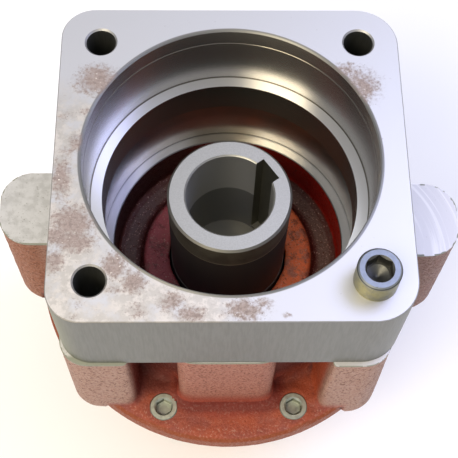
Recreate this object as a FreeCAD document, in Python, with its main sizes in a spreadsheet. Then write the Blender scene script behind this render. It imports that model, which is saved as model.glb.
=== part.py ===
import FreeCAD, Part
import math
import os
import re
import Sketcher

# Orbital hydraulic motor seen from its output end: a square pilot block on a cast
# housing, a hollow keyed shaft on two taper roller bearings, and below them the
# roller gear set, the disc valve and the end cover with the two ports.
# The origin is the centre of the pilot bore at the block's top face. +Z points out
# of the motor, so every piece lies at a negative height.

os.makedirs("parts", exist_ok=True)
doc = FreeCAD.newDocument("orbital_motor")

# Driving sizes in millimetres, with angles in degrees and plain counts
sizes = {
    # Mounting block
    "block_side": 148.0,
    "block_height": 50.0,
    "block_left_corner": 14.5,
    "block_right_corner": 18.0,
    "pilot_diameter": 125.0,
    "pilot_depth": 36.3,
    "rim_chamfer": 0.6,
    "edge_chamfer": 0.4,
    "hole_chamfer": 0.7,
    "line_depth": 9.1,
    "line_size": 0.3,
    "block_bore": 114.4,
    "spigot_height": 4.0,
    "hole_circle": 160.0,
    "hole_diameter": 13.0,
    "dowel_diameter": 6.0,
    "dowel_length": 16.0,
    "dowel_circle": 137.0,
    # Socket head screw left in the front right hole
    "screw_diameter": 12.0,
    "screw_length": 75.0,
    "screw_head": 18.0,
    "screw_socket": 10.0,
    "screw_hole_depth": 32.0,
    # Cast housing
    "casting_bore": 119.0,
    "casting_bore_depth": 35.2,
    "cavity_bore": 111.2,
    "cavity_depth": 20.8,
    "cavity_round": 3.0,
    "hub_diameter": 85.0,
    "hub_height": 5.0,
    "barrel_diameter": 134.0,
    "base_diameter": 187.2,
    "base_depth": 72.0,
    "base_thickness": 11.5,
    "base_round": 4.5,
    "lug_inner": 47.0,
    "lug_reach": 75.2,
    "right_lug_inset": 2.4,
    "front_right_lug_shift": 1.4,
    "lug_corner": 12.5,
    "lug_length": 69.0,
    "lug_round": 10.0,
    "ear_width": 36.0,
    "ear_reach": 105.0,
    "ear_corner": 15.0,
    "ear_length": 69.0,
    "ear_round": 6.0,
    "right_ear_shift": 5.9,
    "pad_width": 45.0,
    "pad_reach": 75.0,
    "pad_corner": 6.0,
    "pad_shift": 1.5,
    "plug_circle": 166.0,
    "plug_angle": 22.0,
    "plug_diameter": 13.5,
    "plug_length": 9.0,
    "plug_socket": 7.0,
    "plug_proud": 0.2,
    "boss_diameter": 21.0,
    "boss_height": 1.6,
    # Hollow output shaft
    "shaft_top": 36.5,
    "shaft_diameter": 56.4,
    "shaft_chamfer": 1.0,
    "land_height": 9.5,
    "land_step": 0.2,
    "shaft_bore": 40.0,
    "shaft_bore_depth": 67.5,
    "keyway_width": 12.0,
    "keyway_reach": 23.3,
    "keyway_angle": 35.0,
    "web_thickness": 8.0,
    "lip_height": 4.0,
    "lip_gap": 0.6,
    # Shaft seal
    "seal_outside": 72.0,
    "seal_width": 8.0,
    "seal_wire": 1.2,
    "seal_lip_gap": 0.05,
    "seal_lip_wall": 3.1,
    # Taper roller bearings
    "bearing_bore": 60.0,
    "bearing_outside": 85.0,
    "bearing_width": 17.0,
    "cup_width": 14.0,
    "cup_wall": 4.9,
    "cup_slope": 0.212,
    "cone_wall": 2.2,
    "cone_slope": 0.129,
    "cone_rib": 2.0,
    "cone_small_rib": 2.1,
    "cone_large_rib": 1.7,
    "bearing_rollers": 16,
    "roller_end_gap": 2.4,
    "cage_wall": 1.6,
    "cage_inset": 0.5,
    "cage_window_gap": 0.25,
    "collar_width": 8.0,
    "collar_diameter": 67.0,
    "shim_width": 4.0,
    # Roller gear set
    "stack_diameter": 130.0,
    "plate_thickness": 7.0,
    "plate_bore": 40.0,
    "stator_thickness": 26.0,
    "stator_bore_gap": 0.8,
    "roller_count": 7,
    "roller_circle": 84.0,
    "roller_diameter": 18.0,
    "eccentricity": 2.8,
    "rotor_gap": 0.1,
    "running_gap": 0.04,
    "end_gap": 0.05,
    # Splined drives
    "spline_teeth": 12,
    "spline_tip": 16.0,
    "spline_root": 13.0,
    "spline_tooth": 3.4,
    "spline_gap": 0.2,
    "spline_tip_gap": 0.4,
    "spline_root_gap": 0.7,
    "drive_head": 16.0,
    "drive_rotor_head": 13.0,
    "drive_body": 22.0,
    "valve_drive_head": 8.0,
    "valve_drive_body": 15.0,
    "valve_spline_tip": 12.0,
    "valve_spline_root": 9.6,
    "valve_spline_tooth": 2.6,
    "drive_end_gap": 1.2,
    "valve_drive_gap": 1.8,
    "drive_spacer_thickness": 2.0,
    # Channel plate and disc valve
    "channel_thickness": 7.0,
    "channel_slot_width": 5.0,
    "channel_inner": 25.5,
    "channel_outer": 36.5,
    "valve_diameter": 68.0,
    "valve_thickness": 15.0,
    "valve_port_width": 5.0,
    "balance_thickness": 7.0,
    "balance_bore": 27.0,
    "chamber_gap": 1.0,
    "spring_height": 3.0,
    "spring_thickness": 0.9,
    # End cover
    "cover_thickness": 35.0,
    "port_face": 68.0,
    "port_pad_width": 66.0,
    "port_pad_height": 28.0,
    "port_pad_round": 4.0,
    "port_diameter": 18.6,
    "port_depth": 15.0,
    "port_spacing": 40.0,
    "port_passage": 12.0,
    "bolt_inset": 9.5,
    "bolt_diameter": 10.0,
    "bolt_length": 80.0,
    "bolt_flats": 16.0,
    "bolt_head": 6.4,
    "bolt_recess": 8.0,
    "bolt_recess_diameter": 21.0,
    "bolt_hole_gap": 0.25,
    # Face seals and the drain
    "ring_inset": 2.75,
    "block_ring_inset": 3.75,
    "ring_wire": 1.9,
    "ring_groove": 2.2,
    "drain_diameter": 13.2,
    "drain_length": 9.0,
    "drain_head": 18.6,
    "drain_head_height": 4.0,
    "drain_socket": 6.0,
    "drain_washer": 1.5,
    "drain_passage": 6.0,
    "fit_gap": 0.03,
}

sheet = doc.addObject("Spreadsheet::Sheet", "Sizes")
for row, (alias, amount) in enumerate(sizes.items(), start=1):
    sheet.set(f"A{row}", alias)
    sheet.set(f"B{row}", str(amount))
    sheet.setAlias(f"B{row}", alias)
doc.recompute()

# The set rests with its crescent of oil towards -Y, where the rotor leans
rest_angle = -90.0
root_three = math.sqrt(3.0)
clear = 1.0  # how far a cutting tool reaches past the face it leaves

# Heights that follow from the driving sizes, as formulas
joint_z = "(-block_height)"
ledge_z = f"({joint_z} - casting_bore_depth)"
floor_z = f"({ledge_z} - cavity_depth)"
hub_z = f"({floor_z} + hub_height)"
seal_z = f"({hub_z} - lip_height)"
seat_z = f"({seal_z} - seal_width - 2)"
collar_z = f"({seat_z} - bearing_width)"
rear_bearing_z = f"({collar_z} - collar_width)"
shim_z = f"({rear_bearing_z} - bearing_width)"
plate_z = f"({shim_z} - shim_width)"
stator_z = f"({plate_z} - plate_thickness)"
channel_z = f"({stator_z} - stator_thickness)"
valve_z = f"({channel_z} - channel_thickness)"
rear_z = f"({valve_z} - cover_thickness)"
base_z = f"({joint_z} - base_depth)"
base_top_z = f"({base_z} + base_thickness)"
shaft_end_z = f"({plate_z} + 1.5)"
web_z = "(-shaft_top - shaft_bore_depth)"
spline_z = f"({web_z} - web_thickness)"
drive_z = f"({spline_z} - drive_end_gap - drive_head / 2)"
drive_rotor_z = f"({stator_z} - drive_rotor_head / 2)"
spacer_z = f"({drive_rotor_z} - drive_rotor_head / 2 - drive_end_gap)"
spacer_low_z = f"({spacer_z} - drive_spacer_thickness)"
valve_drive_z = f"({spacer_low_z} - valve_drive_gap - valve_drive_head / 2)"
valve_spline_z = f"({valve_z} - valve_thickness + valve_drive_head / 2 + 1)"
balance_z = f"({valve_z} - valve_thickness - end_gap)"
spring_z = f"({balance_z} - balance_thickness)"
chamber_z = f"({spring_z} - spring_height)"
bolt_seat_z = f"({rear_z} + bolt_recess)"
drain_z = f"({collar_z} - collar_width / 2)"
port_z = f"({valve_z} - 2 - port_pad_height / 2)"

# Radii that several pieces share, as formulas
wall_middle = "(casting_bore + barrel_diameter) / 4"
block_ring_middle = "(casting_bore / 2 + block_ring_inset)"
stack = "stack_diameter / 2"
ring_middle = f"({stack} - ring_inset)"
bolt_circle = "(stack_diameter - 2 * bolt_inset)"


def formula(text):
    """Point each size's name in a formula at its cell."""
    def cell(word):
        name = word.group()
        return f"Sizes.{name}" if name in sizes else name
    return re.sub(r"[a-z][a-z0-9_]*", cell, text)


def amount_of(text):
    return float(sheet.evalExpression(formula(text)))


def bind(thing, prop, text):
    thing.setExpression(prop, formula(text))


def place(thing, x="0", y="0", z="0"):
    for axis, text in zip("xyz", (x, y, z)):
        bind(thing, f"Placement.Base.{axis}", text)
    return thing


def new_body(label):
    body = doc.addObject("PartDesign::Body", label)
    body.Label = label
    return body


def sketch_on(body, plane, offset="0"):
    sketch = body.newObject("Sketcher::SketchObject", "sketch")
    origin_plane = next(f for f in body.Origin.OriginFeatures if f.Role == plane)
    sketch.AttachmentSupport = [(origin_plane, "")]
    sketch.MapMode = "FlatFace"
    bind(sketch, "AttachmentOffset.Base.z", offset)
    return sketch


def pin(sketch, kind, place_in_sketch, text):
    """Hold one coordinate or radius of a sketch to a formula."""
    index = sketch.addConstraint(Sketcher.Constraint(kind, *place_in_sketch, amount_of(text)))
    sketch.setExpression(f"Constraints[{index}]", formula(text))


def draw(sketch, corners):
    """Draw a closed outline: each corner is (x, y), or (x, y, arc x, arc y) where an arc follows it."""
    spots = [FreeCAD.Vector(amount_of(c[0]), amount_of(c[1]), 0) for c in corners]
    first = sketch.GeometryCount
    ends = []
    for i, corner in enumerate(corners):
        start, stop = spots[i], spots[(i + 1) % len(spots)]
        if len(corner) == 4:
            middle = FreeCAD.Vector(amount_of(corner[2]), amount_of(corner[3]), 0)
            index = sketch.addGeometry(Part.Arc(start, middle, stop))
        else:
            index = sketch.addGeometry(Part.LineSegment(start, stop))
        forwards = sketch.getPoint(index, 1).isEqual(start, 1e-6)
        ends.append((1, 2) if forwards else (2, 1))
    for i in range(len(corners)):
        after = (i + 1) % len(corners)
        joined = (first + i, ends[i][1], first + after, ends[after][0])
        sketch.addConstraint(Sketcher.Constraint("Coincident", *joined))
    for i, corner in enumerate(corners):
        pin(sketch, "DistanceX", (first + i, ends[i][0]), corner[0])
        pin(sketch, "DistanceY", (first + i, ends[i][0]), corner[1])
        if len(corner) == 4:
            middle = FreeCAD.Vector(amount_of(corner[2]), amount_of(corner[3]), 0)
            point = sketch.addGeometry(Part.Point(middle), True)
            pin(sketch, "DistanceX", (point, 1), corner[2])
            pin(sketch, "DistanceY", (point, 1), corner[3])
            sketch.addConstraint(Sketcher.Constraint("PointOnObject", point, 1, first + i))


def circle(sketch, x, y, radius):
    centre = FreeCAD.Vector(amount_of(x), amount_of(y), 0)
    ring = sketch.addGeometry(Part.Circle(centre, FreeCAD.Vector(0, 0, 1), amount_of(radius)))
    pin(sketch, "DistanceX", (ring, 3), x)
    pin(sketch, "DistanceY", (ring, 3), y)
    pin(sketch, "Radius", (ring,), radius)


def turn(body, corners, kind="Revolution"):
    """Turn an outline of (radius, height) corners about Z; a Groove cuts instead."""
    sketch = sketch_on(body, "XZ_Plane")
    draw(sketch, corners)
    feature = body.newObject(f"PartDesign::{kind}", kind.lower())
    feature.Profile = sketch
    feature.ReferenceAxis = (sketch, ["V_Axis"])
    feature.Angle = 360
    doc.recompute()
    return feature


def turned(label, corners):
    body = new_body(label)
    turn(body, corners)
    return body


def extrude(body, sketch, length, kind="Pad", backwards=False):
    """Pad or Pocket a sketch. A Pad runs along the sketch's normal and a Pocket against it."""
    before = body.Shape.Volume if kind == "Pocket" else 0.0
    feature = body.newObject(f"PartDesign::{kind}", kind.lower())
    feature.Profile = sketch
    bind(feature, "Length", length)
    feature.Reversed = backwards
    doc.recompute()
    if kind == "Pocket" and feature.Shape.Volume >= before - 1e-3:
        raise RuntimeError(f"a pocket in {body.Label} cut nothing")
    return feature


def repeat(body, features, sketch, count):
    pattern = body.newObject("PartDesign::PolarPattern", "pattern")
    pattern.Originals = features
    pattern.Axis = (sketch, ["N_Axis"])
    pattern.Angle = 360
    bind(pattern, "Occurrences", count)
    body.Tip = pattern
    doc.recompute()
    return pattern


def drill(body, level, depth, x, y, radius, count=None, upwards=False):
    """Drill a round hole from a level, downwards unless told otherwise, and repeat it round Z."""
    sketch = sketch_on(body, "XY_Plane", level)
    circle(sketch, x, y, radius)
    hole = extrude(body, sketch, depth, "Pocket", upwards)
    if count:
        return repeat(body, [hole], sketch, count)
    return hole


def round_edges(body, size, wanted, kind="Fillet"):
    """Fillet the edges of the body's tip that the test picks; a Chamfer bevels them instead."""
    tip = body.Tip
    picked = [f"Edge{i}" for i, edge in enumerate(tip.Shape.Edges, start=1) if wanted(edge)]
    if not picked:
        raise RuntimeError(f"no edge to round on {body.Label}")
    feature = body.newObject(f"PartDesign::{kind}", kind.lower())
    feature.Base = (tip, picked)
    bind(feature, "Radius" if kind == "Fillet" else "Size", size)
    doc.recompute()
    return feature


def lies_at(edge, level):
    box = edge.BoundBox
    return abs(box.ZMin - level) < 1e-4 and abs(box.ZMax - level) < 1e-4


def stands(edge):
    """An upright straight edge."""
    return isinstance(edge.Curve, Part.Line) and edge.BoundBox.ZLength > 0.5 * edge.Length


def hexagon(sketch, flats):
    half, reach = f"({flats}) / 2", f"({flats}) / {root_three}"
    draw(sketch, [
        (half, f"{reach} / 2"), ("0", reach), (f"-{half}", f"{reach} / 2"),
        (f"-{half}", f"-{reach} / 2"), ("0", f"-{reach}"), (half, f"-{reach} / 2"),
    ])


def cylinder(label, radius, height, x="0", y="0", z="0"):
    thing = doc.addObject("Part::Cylinder", label)
    thing.Label = label
    bind(thing, "Radius", radius)
    bind(thing, "Height", height)
    return place(thing, x, y, z)


def join(label, kind, things):
    """Combine whole objects: MultiFuse, Cut, or a Compound of separate solids."""
    combined = doc.addObject(f"Part::{kind}", label)
    combined.Label = label
    if kind == "Cut":
        combined.Base, combined.Tool = things
    elif kind == "Compound":
        combined.Links = things
    else:
        combined.Shapes = things
    doc.recompute()
    return combined


def on_circle(diameter, degrees):
    """The x and y formulas of a point on a circle."""
    angle = math.radians(degrees)
    return f"{diameter} / 2 * {math.cos(angle):.9f}", f"{diameter} / 2 * {math.sin(angle):.9f}"


# Mounting block: a machined square with the female pilot and four clearance holes
def make_block():
    body = new_body("mounting_block")
    half = "block_side / 2"
    square = sketch_on(body, "XY_Plane", joint_z)
    draw(square, [(half, f"-{half}"), (half, half), (f"-{half}", half), (f"-{half}", f"-{half}")])
    extrude(body, square, "block_height")
    round_edges(body, "block_left_corner", lambda e: stands(e) and e.CenterOfMass.x < 0)
    round_edges(body, "block_right_corner", lambda e: stands(e) and e.CenterOfMass.x > 1)
    round_edges(body, "edge_chamfer", lambda e: lies_at(e, 0.0), "Chamfer")
    spigot_x = "casting_bore / 2 - fit_gap"
    end_z = f"({joint_z} - spigot_height)"
    turn(body, [("0", end_z), (spigot_x, end_z), (spigot_x, f"{joint_z} + 1"), ("0", f"{joint_z} + 1")])
    rim, bore = "pilot_diameter / 2", "block_bore / 2"
    turn(body, [
        ("0", f"{clear}"), (f"{rim} + rim_chamfer + {clear}", f"{clear}"), (rim, "-rim_chamfer"),
        (rim, "-line_depth + line_size"), (f"{rim} + line_size", "-line_depth"),
        (rim, "-line_depth - line_size"), (rim, "-pilot_depth"), (bore, "-pilot_depth"),
        (bore, f"{end_z} - {clear}"), ("0", f"{end_z} - {clear}"),
    ], "Groove")
    corner = "hole_circle / 2 * 0.707106781"
    drill(body, "0", "block_height", corner, corner, "hole_diameter / 2", "4")
    hole = amount_of("hole_diameter")
    round_edges(body, "hole_chamfer", lambda e: lies_at(e, 0.0) and abs(e.BoundBox.XLength - hole) < 1e-3,
                "Chamfer")
    dowel = "dowel_diameter / 2 + fit_gap"
    drill(body, joint_z, "dowel_length / 2", "0", "dowel_circle / 2", dowel, "2", True)
    return body


def make_dowels():
    pins = [
        cylinder(f"dowel pin {side}", "dowel_diameter / 2", "dowel_length - 0.6",
                 "0", f"{side} * dowel_circle / 2", f"{joint_z} - dowel_length / 2 + 0.3")
        for side in (-1, 1)
    ]
    return join("dowel_pins", "Compound", pins)


# Socket head screw: head and shank turned in one, then the hexagon and its drill point
def make_screw():
    body = new_body("flange_screw")
    head, shank = "screw_head / 2", "screw_diameter / 2"
    turn(body, [
        ("0", "-screw_length"), (f"{shank} - 1.2", "-screw_length"), (shank, "-screw_length + 1.2"),
        (shank, "0"), (head, "0"), (head, "screw_diameter - 1"), (f"{head} - 1", "screw_diameter"),
        ("0", "screw_diameter"),
    ])
    socket = sketch_on(body, "XY_Plane", "screw_diameter")
    hexagon(socket, "screw_socket")
    extrude(body, socket, "screw_diameter / 2", "Pocket")
    lead = "screw_socket / 1.732 + 0.1"
    turn(body, [
        ("0", f"screw_diameter + {clear}"), (f"{lead} + {clear}", f"screw_diameter + {clear}"),
        (f"{lead} - 1.1", "screw_diameter - 1.1"), ("0", "screw_diameter - 1.1"),
    ], "Groove")
    turn(body, [
        ("0", "screw_diameter / 2 + 1"), ("screw_socket / 2 - 0.6", "screw_diameter / 2 + 1"),
        ("screw_socket / 2 - 0.6", "screw_diameter / 2"), ("0", "screw_diameter / 2 - 2.2"),
    ], "Groove")
    corner = "hole_circle / 2 * 0.707106781"
    return place(body, corner, f"-{corner}", "0")


# Cast housing: a turned core, corner lugs, side ears and pads, then the drilled holes
def make_housing_core():
    barrel, tail, base = "barrel_diameter / 2", "stack_diameter / 2", "base_diameter / 2"
    core = new_body("housing core")
    turn(core, [
        ("casting_bore / 2", joint_z), (barrel, joint_z), (barrel, f"{base_top_z} - 1.5"),
        (f"{base} - 9", base_top_z), (base, f"{base_top_z} - 1.5"), (base, base_z), (tail, base_z),
        (tail, plate_z), ("bearing_outside / 2", plate_z), ("bearing_outside / 2", seat_z),
        ("seal_outside / 2", seat_z), ("seal_outside / 2", seal_z),
        ("shaft_diameter / 2 + lip_gap", seal_z), ("shaft_diameter / 2 + lip_gap", hub_z),
        ("hub_diameter / 2 - 2", hub_z), ("hub_diameter / 2", f"{hub_z} - 2"),
        ("hub_diameter / 2 + 1", floor_z), ("cavity_bore / 2", floor_z),
        ("cavity_bore / 2", ledge_z), ("casting_bore / 2", ledge_z),
    ])
    base_reach, cavity_reach = amount_of(base), amount_of("cavity_bore / 2")
    top, bottom, floor = amount_of(f"{base_top_z} - 1.5"), amount_of(base_z), amount_of(floor_z)

    def ring_at(edge, reach, level):
        return lies_at(edge, level) and abs(edge.BoundBox.XMax - reach) < 1e-3

    round_edges(core, "base_round", lambda e: ring_at(e, base_reach, top))
    round_edges(core, "base_round / 3", lambda e: ring_at(e, base_reach, bottom))
    round_edges(core, "cavity_round", lambda e: ring_at(e, cavity_reach, floor))
    return core


def make_lug(side, way):
    """A corner lug; side is -1 left and +1 right, way is -1 front and +1 back."""
    lug = new_body(f"housing lug {side} {way}")
    inset = "right_lug_inset" if side > 0 else "0"
    shift = "front_right_lug_shift" if (side, way) == (1, -1) else "0"
    sketch = sketch_on(lug, "XY_Plane", joint_z)
    inner_x, outer_x = f"{side} * lug_inner", f"{side} * (lug_reach - {inset})"
    inner_y, outer_y = f"{way} * lug_inner - {shift}", f"{way} * lug_reach - {shift}"
    draw(sketch, [(inner_x, inner_y), (outer_x, inner_y), (outer_x, outer_y), (inner_x, outer_y)])
    extrude(lug, sketch, "lug_length", "Pad", True)
    low = amount_of(f"{joint_z} - lug_length")
    round_edges(lug, "lug_corner", stands)
    round_edges(lug, "lug_round", lambda e: lies_at(e, low))
    return lug


def make_ear(side):
    """A side ear; the right one lies a little nearer to the front, as the casting has it."""
    ear = new_body(f"housing ear {side}")
    sketch = sketch_on(ear, "XY_Plane", joint_z)
    root, tip, half = f"{side} * {wall_middle}", f"{side} * ear_reach", "ear_width / 2"
    shift = "right_ear_shift" if side > 0 else "0"
    draw(sketch, [
        (root, f"-{half} - {shift}"), (tip, f"-{half} - {shift}"),
        (tip, f"{half} - {shift}"), (root, f"{half} - {shift}"),
    ])
    extrude(ear, sketch, "ear_length", "Pad", True)
    low, reach = amount_of(f"{joint_z} - ear_length"), abs(amount_of(root))
    round_edges(ear, "ear_corner", lambda e: stands(e) and abs(e.CenterOfMass.x) > reach + 1)
    round_edges(ear, "ear_round", lambda e: lies_at(e, low) and abs(e.CenterOfMass.x) > reach + 1)
    return ear


def make_pad(side):
    pad = new_body(f"housing pad {side}")
    sketch = sketch_on(pad, "XY_Plane", joint_z)
    right, left = "pad_width / 2 - pad_shift", "-pad_width / 2 - pad_shift"
    root, tip = f"{side} * {wall_middle}", f"{side} * pad_reach"
    draw(sketch, [(right, root), (right, tip), (left, tip), (left, root)])
    extrude(pad, sketch, "base_depth - base_thickness / 2", "Pad", True)
    face = amount_of(tip)
    round_edges(pad, "pad_corner", lambda e: stands(e) and abs(e.CenterOfMass.y - face) < 1e-3)
    return pad


def plug_spot(side):
    return on_circle("plug_circle", -90.0 + side * sizes["plug_angle"])


def make_housing():
    lumps = [make_housing_core()]
    lumps += [make_lug(side, way) for side in (-1, 1) for way in (-1, 1)]
    lumps += [make_ear(side) for side in (-1, 1)]
    lumps += [make_pad(side) for side in (-1, 1)]
    tools = []
    for side in (-1, 1):
        x, y = plug_spot(side)
        lumps.append(cylinder(f"housing boss {side}", "boss_diameter / 2", "base_thickness / 2 + boss_height",
                              x, y, f"{base_top_z} - base_thickness / 2"))
        tools.append(cylinder(f"plug hole {side}", "plug_diameter / 2 + fit_gap",
                              f"base_thickness + boss_height + 2 * {clear}", x, y, f"{base_z} - {clear}"))
        tools.append(cylinder(f"dowel hole {side}", "dowel_diameter / 2 + fit_gap", "dowel_length / 2",
                              "0", f"{side} * dowel_circle / 2", f"{joint_z} - dowel_length / 2"))
    for degrees in (45, 135, 225, 315):
        x, y = on_circle("hole_circle", degrees)
        tools.append(cylinder(f"tapped hole {degrees}", "screw_diameter / 2 + fit_gap", "screw_hole_depth",
                              x, y, f"{joint_z} - screw_hole_depth"))
    for number, (x, y) in enumerate(bolt_spots()):
        tools.append(cylinder(f"cover bolt hole {number}", "bolt_diameter / 2 + fit_gap",
                              f"{bolt_seat_z} + bolt_length + 3 - {plate_z}", x, y, plate_z))
    groove = turned("housing groove", ring_groove_outline(ring_middle, plate_z))
    seal_groove = turned("block seal groove", ring_groove_outline(block_ring_middle, joint_z, -1))
    tools += [groove, seal_groove] + make_drain_tools()
    solid = join("housing blank", "MultiFuse", lumps)
    cuts = join("housing holes", "MultiFuse", tools)
    return join("housing", "Cut", [solid, cuts])


def ring_groove_outline(middle, level, way=1):
    """The section of a face groove that opens at a level; way is +1 into the piece above, -1 below."""
    low, high = f"{level} - {way} * {clear}", f"{level} + {way} * (ring_wire + 0.02)"
    return [(f"{middle} - ring_groove / 2", low), (f"{middle} + ring_groove / 2", low),
            (f"{middle} + ring_groove / 2", high), (f"{middle} - ring_groove / 2", high)]


def make_ring(label, middle, level, way=1):
    """A round seal in its groove, drawn at the height that the groove squeezes it to."""
    half = "ring_wire / 2"
    centre = f"({level} + {way} * ({half} + 0.01))"
    slant = "ring_wire / 2 * 0.414213562"
    return turned(label, [
        (f"{middle} + {slant}", f"{centre} - {half}"), (f"{middle} + {half}", f"{centre} - {slant}"),
        (f"{middle} + {half}", f"{centre} + {slant}"), (f"{middle} + {slant}", f"{centre} + {half}"),
        (f"{middle} - {slant}", f"{centre} + {half}"), (f"{middle} - {half}", f"{centre} + {slant}"),
        (f"{middle} - {half}", f"{centre} - {slant}"), (f"{middle} - {slant}", f"{centre} - {half}"),
    ])


def bolt_spots():
    count = sizes["roller_count"]
    return [on_circle(bolt_circle, 90.0 + 360.0 * number / count) for number in range(count)]


def lay_along_y(thing):
    """Turn a piece so that its own +Z points to -Y."""
    turned_over = FreeCAD.Rotation(FreeCAD.Vector(1, 0, 0), 90)
    thing.Placement = FreeCAD.Placement(thing.Placement.Base, turned_over)
    return thing


drain_face = f"({stack} - 1)"


def make_drain_tools():
    seat = cylinder("drain spot face", "drain_head / 2 + 1", "10", "0", f"-{drain_face}", drain_z)
    hole = cylinder("drain thread", "drain_diameter / 2", "drain_length + 3", "0",
                    f"-{drain_face} + drain_length + 2", drain_z)
    start = "bearing_outside / 2 - 2"
    passage = cylinder("drain passage", "drain_passage / 2", f"{drain_face} - {start}",
                       "0", f"-({start})", drain_z)
    return [lay_along_y(tool) for tool in (seat, hole, passage)]


# Plugs with a hexagon socket: two in the base flange, one with a collar in the drain
def make_plug(label, outline, top, flats, depth):
    body = turned(label, outline)
    socket = sketch_on(body, "XY_Plane", top)
    hexagon(socket, flats)
    extrude(body, socket, depth, "Pocket")
    lead = f"{flats} / {root_three} + 0.4"
    turn(body, [
        ("0", f"{top} + {clear}"), (f"{lead} + {clear}", f"{top} + {clear}"),
        (f"{lead} - 1.3", f"{top} - 1.3"), ("0", f"{top} - 1.3"),
    ], "Groove")
    return body


def make_base_plug(label, side):
    radius = "plug_diameter / 2"
    body = make_plug(label, [
        ("0", "-plug_length"), (f"{radius} - 1", "-plug_length"), (radius, "-plug_length + 1"),
        (radius, "-0.5"), (f"{radius} - 0.5", "0"), ("0", "0"),
    ], "0", "plug_socket", "plug_length / 2")
    return place(body, *plug_spot(side), f"{base_top_z} + boss_height + plug_proud")


def make_drain_plug():
    shank, head = "drain_diameter / 2 - 0.05", "drain_head / 2"
    top = "(drain_washer + drain_head_height)"
    body = make_plug("drain_plug", [
        ("0", "-drain_length"), (f"{shank} - 1", "-drain_length"), (shank, "-drain_length + 1"),
        (shank, "drain_washer"), (head, "drain_washer"), (head, f"{top} - 0.8"), (f"{head} - 0.8", top),
        ("0", top),
    ], top, "drain_socket", "drain_head_height - 0.5")
    return place(lay_along_y(body), "0", f"-{drain_face}", drain_z)


def make_drain_washer():
    body = turned("drain_washer", [
        ("drain_diameter / 2 + 0.2", "0"), ("drain_head / 2", "0"), ("drain_head / 2", "drain_washer"),
        ("drain_diameter / 2 + 0.2", "drain_washer"),
    ])
    return place(lay_along_y(body), "0", f"-{drain_face}", drain_z)


# Lip seal and the garter spring that holds its lip on the shaft
def make_seal():
    outer, lip = "seal_outside / 2 - fit_gap", "(shaft_diameter / 2 + seal_lip_gap)"
    return turned("shaft_seal", [
        (outer, seal_z), (outer, f"{seal_z} - seal_width"), (f"{outer} - 1.5", f"{seal_z} - seal_width"),
        (f"{outer} - 1.5", f"{seal_z} - 1.5"), (f"{lip} + 3", f"{seal_z} - 1.5"),
        (f"{lip} + 2.2", f"{seal_z} - 4.4"), (f"{lip} + seal_lip_wall", f"{seal_z} - 4.8"),
        (f"{lip} + seal_lip_wall", f"{seal_z} - 7"), (f"{lip} + 1.2", f"{seal_z} - 7.2"),
        (lip, f"{seal_z} - 5.8"), (f"{lip} + 1", f"{seal_z} - 4.2"), (f"{lip} + 1", seal_z),
    ])


def make_seal_spring():
    spring = doc.addObject("Part::Torus", "seal_spring")
    spring.Label = "seal_spring"
    bind(spring, "Radius1", "shaft_diameter / 2 + seal_lip_gap + seal_lip_wall + seal_wire / 2 + fit_gap")
    bind(spring, "Radius2", "seal_wire / 2")
    return place(spring, z=f"{seal_z} - 6")


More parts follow.
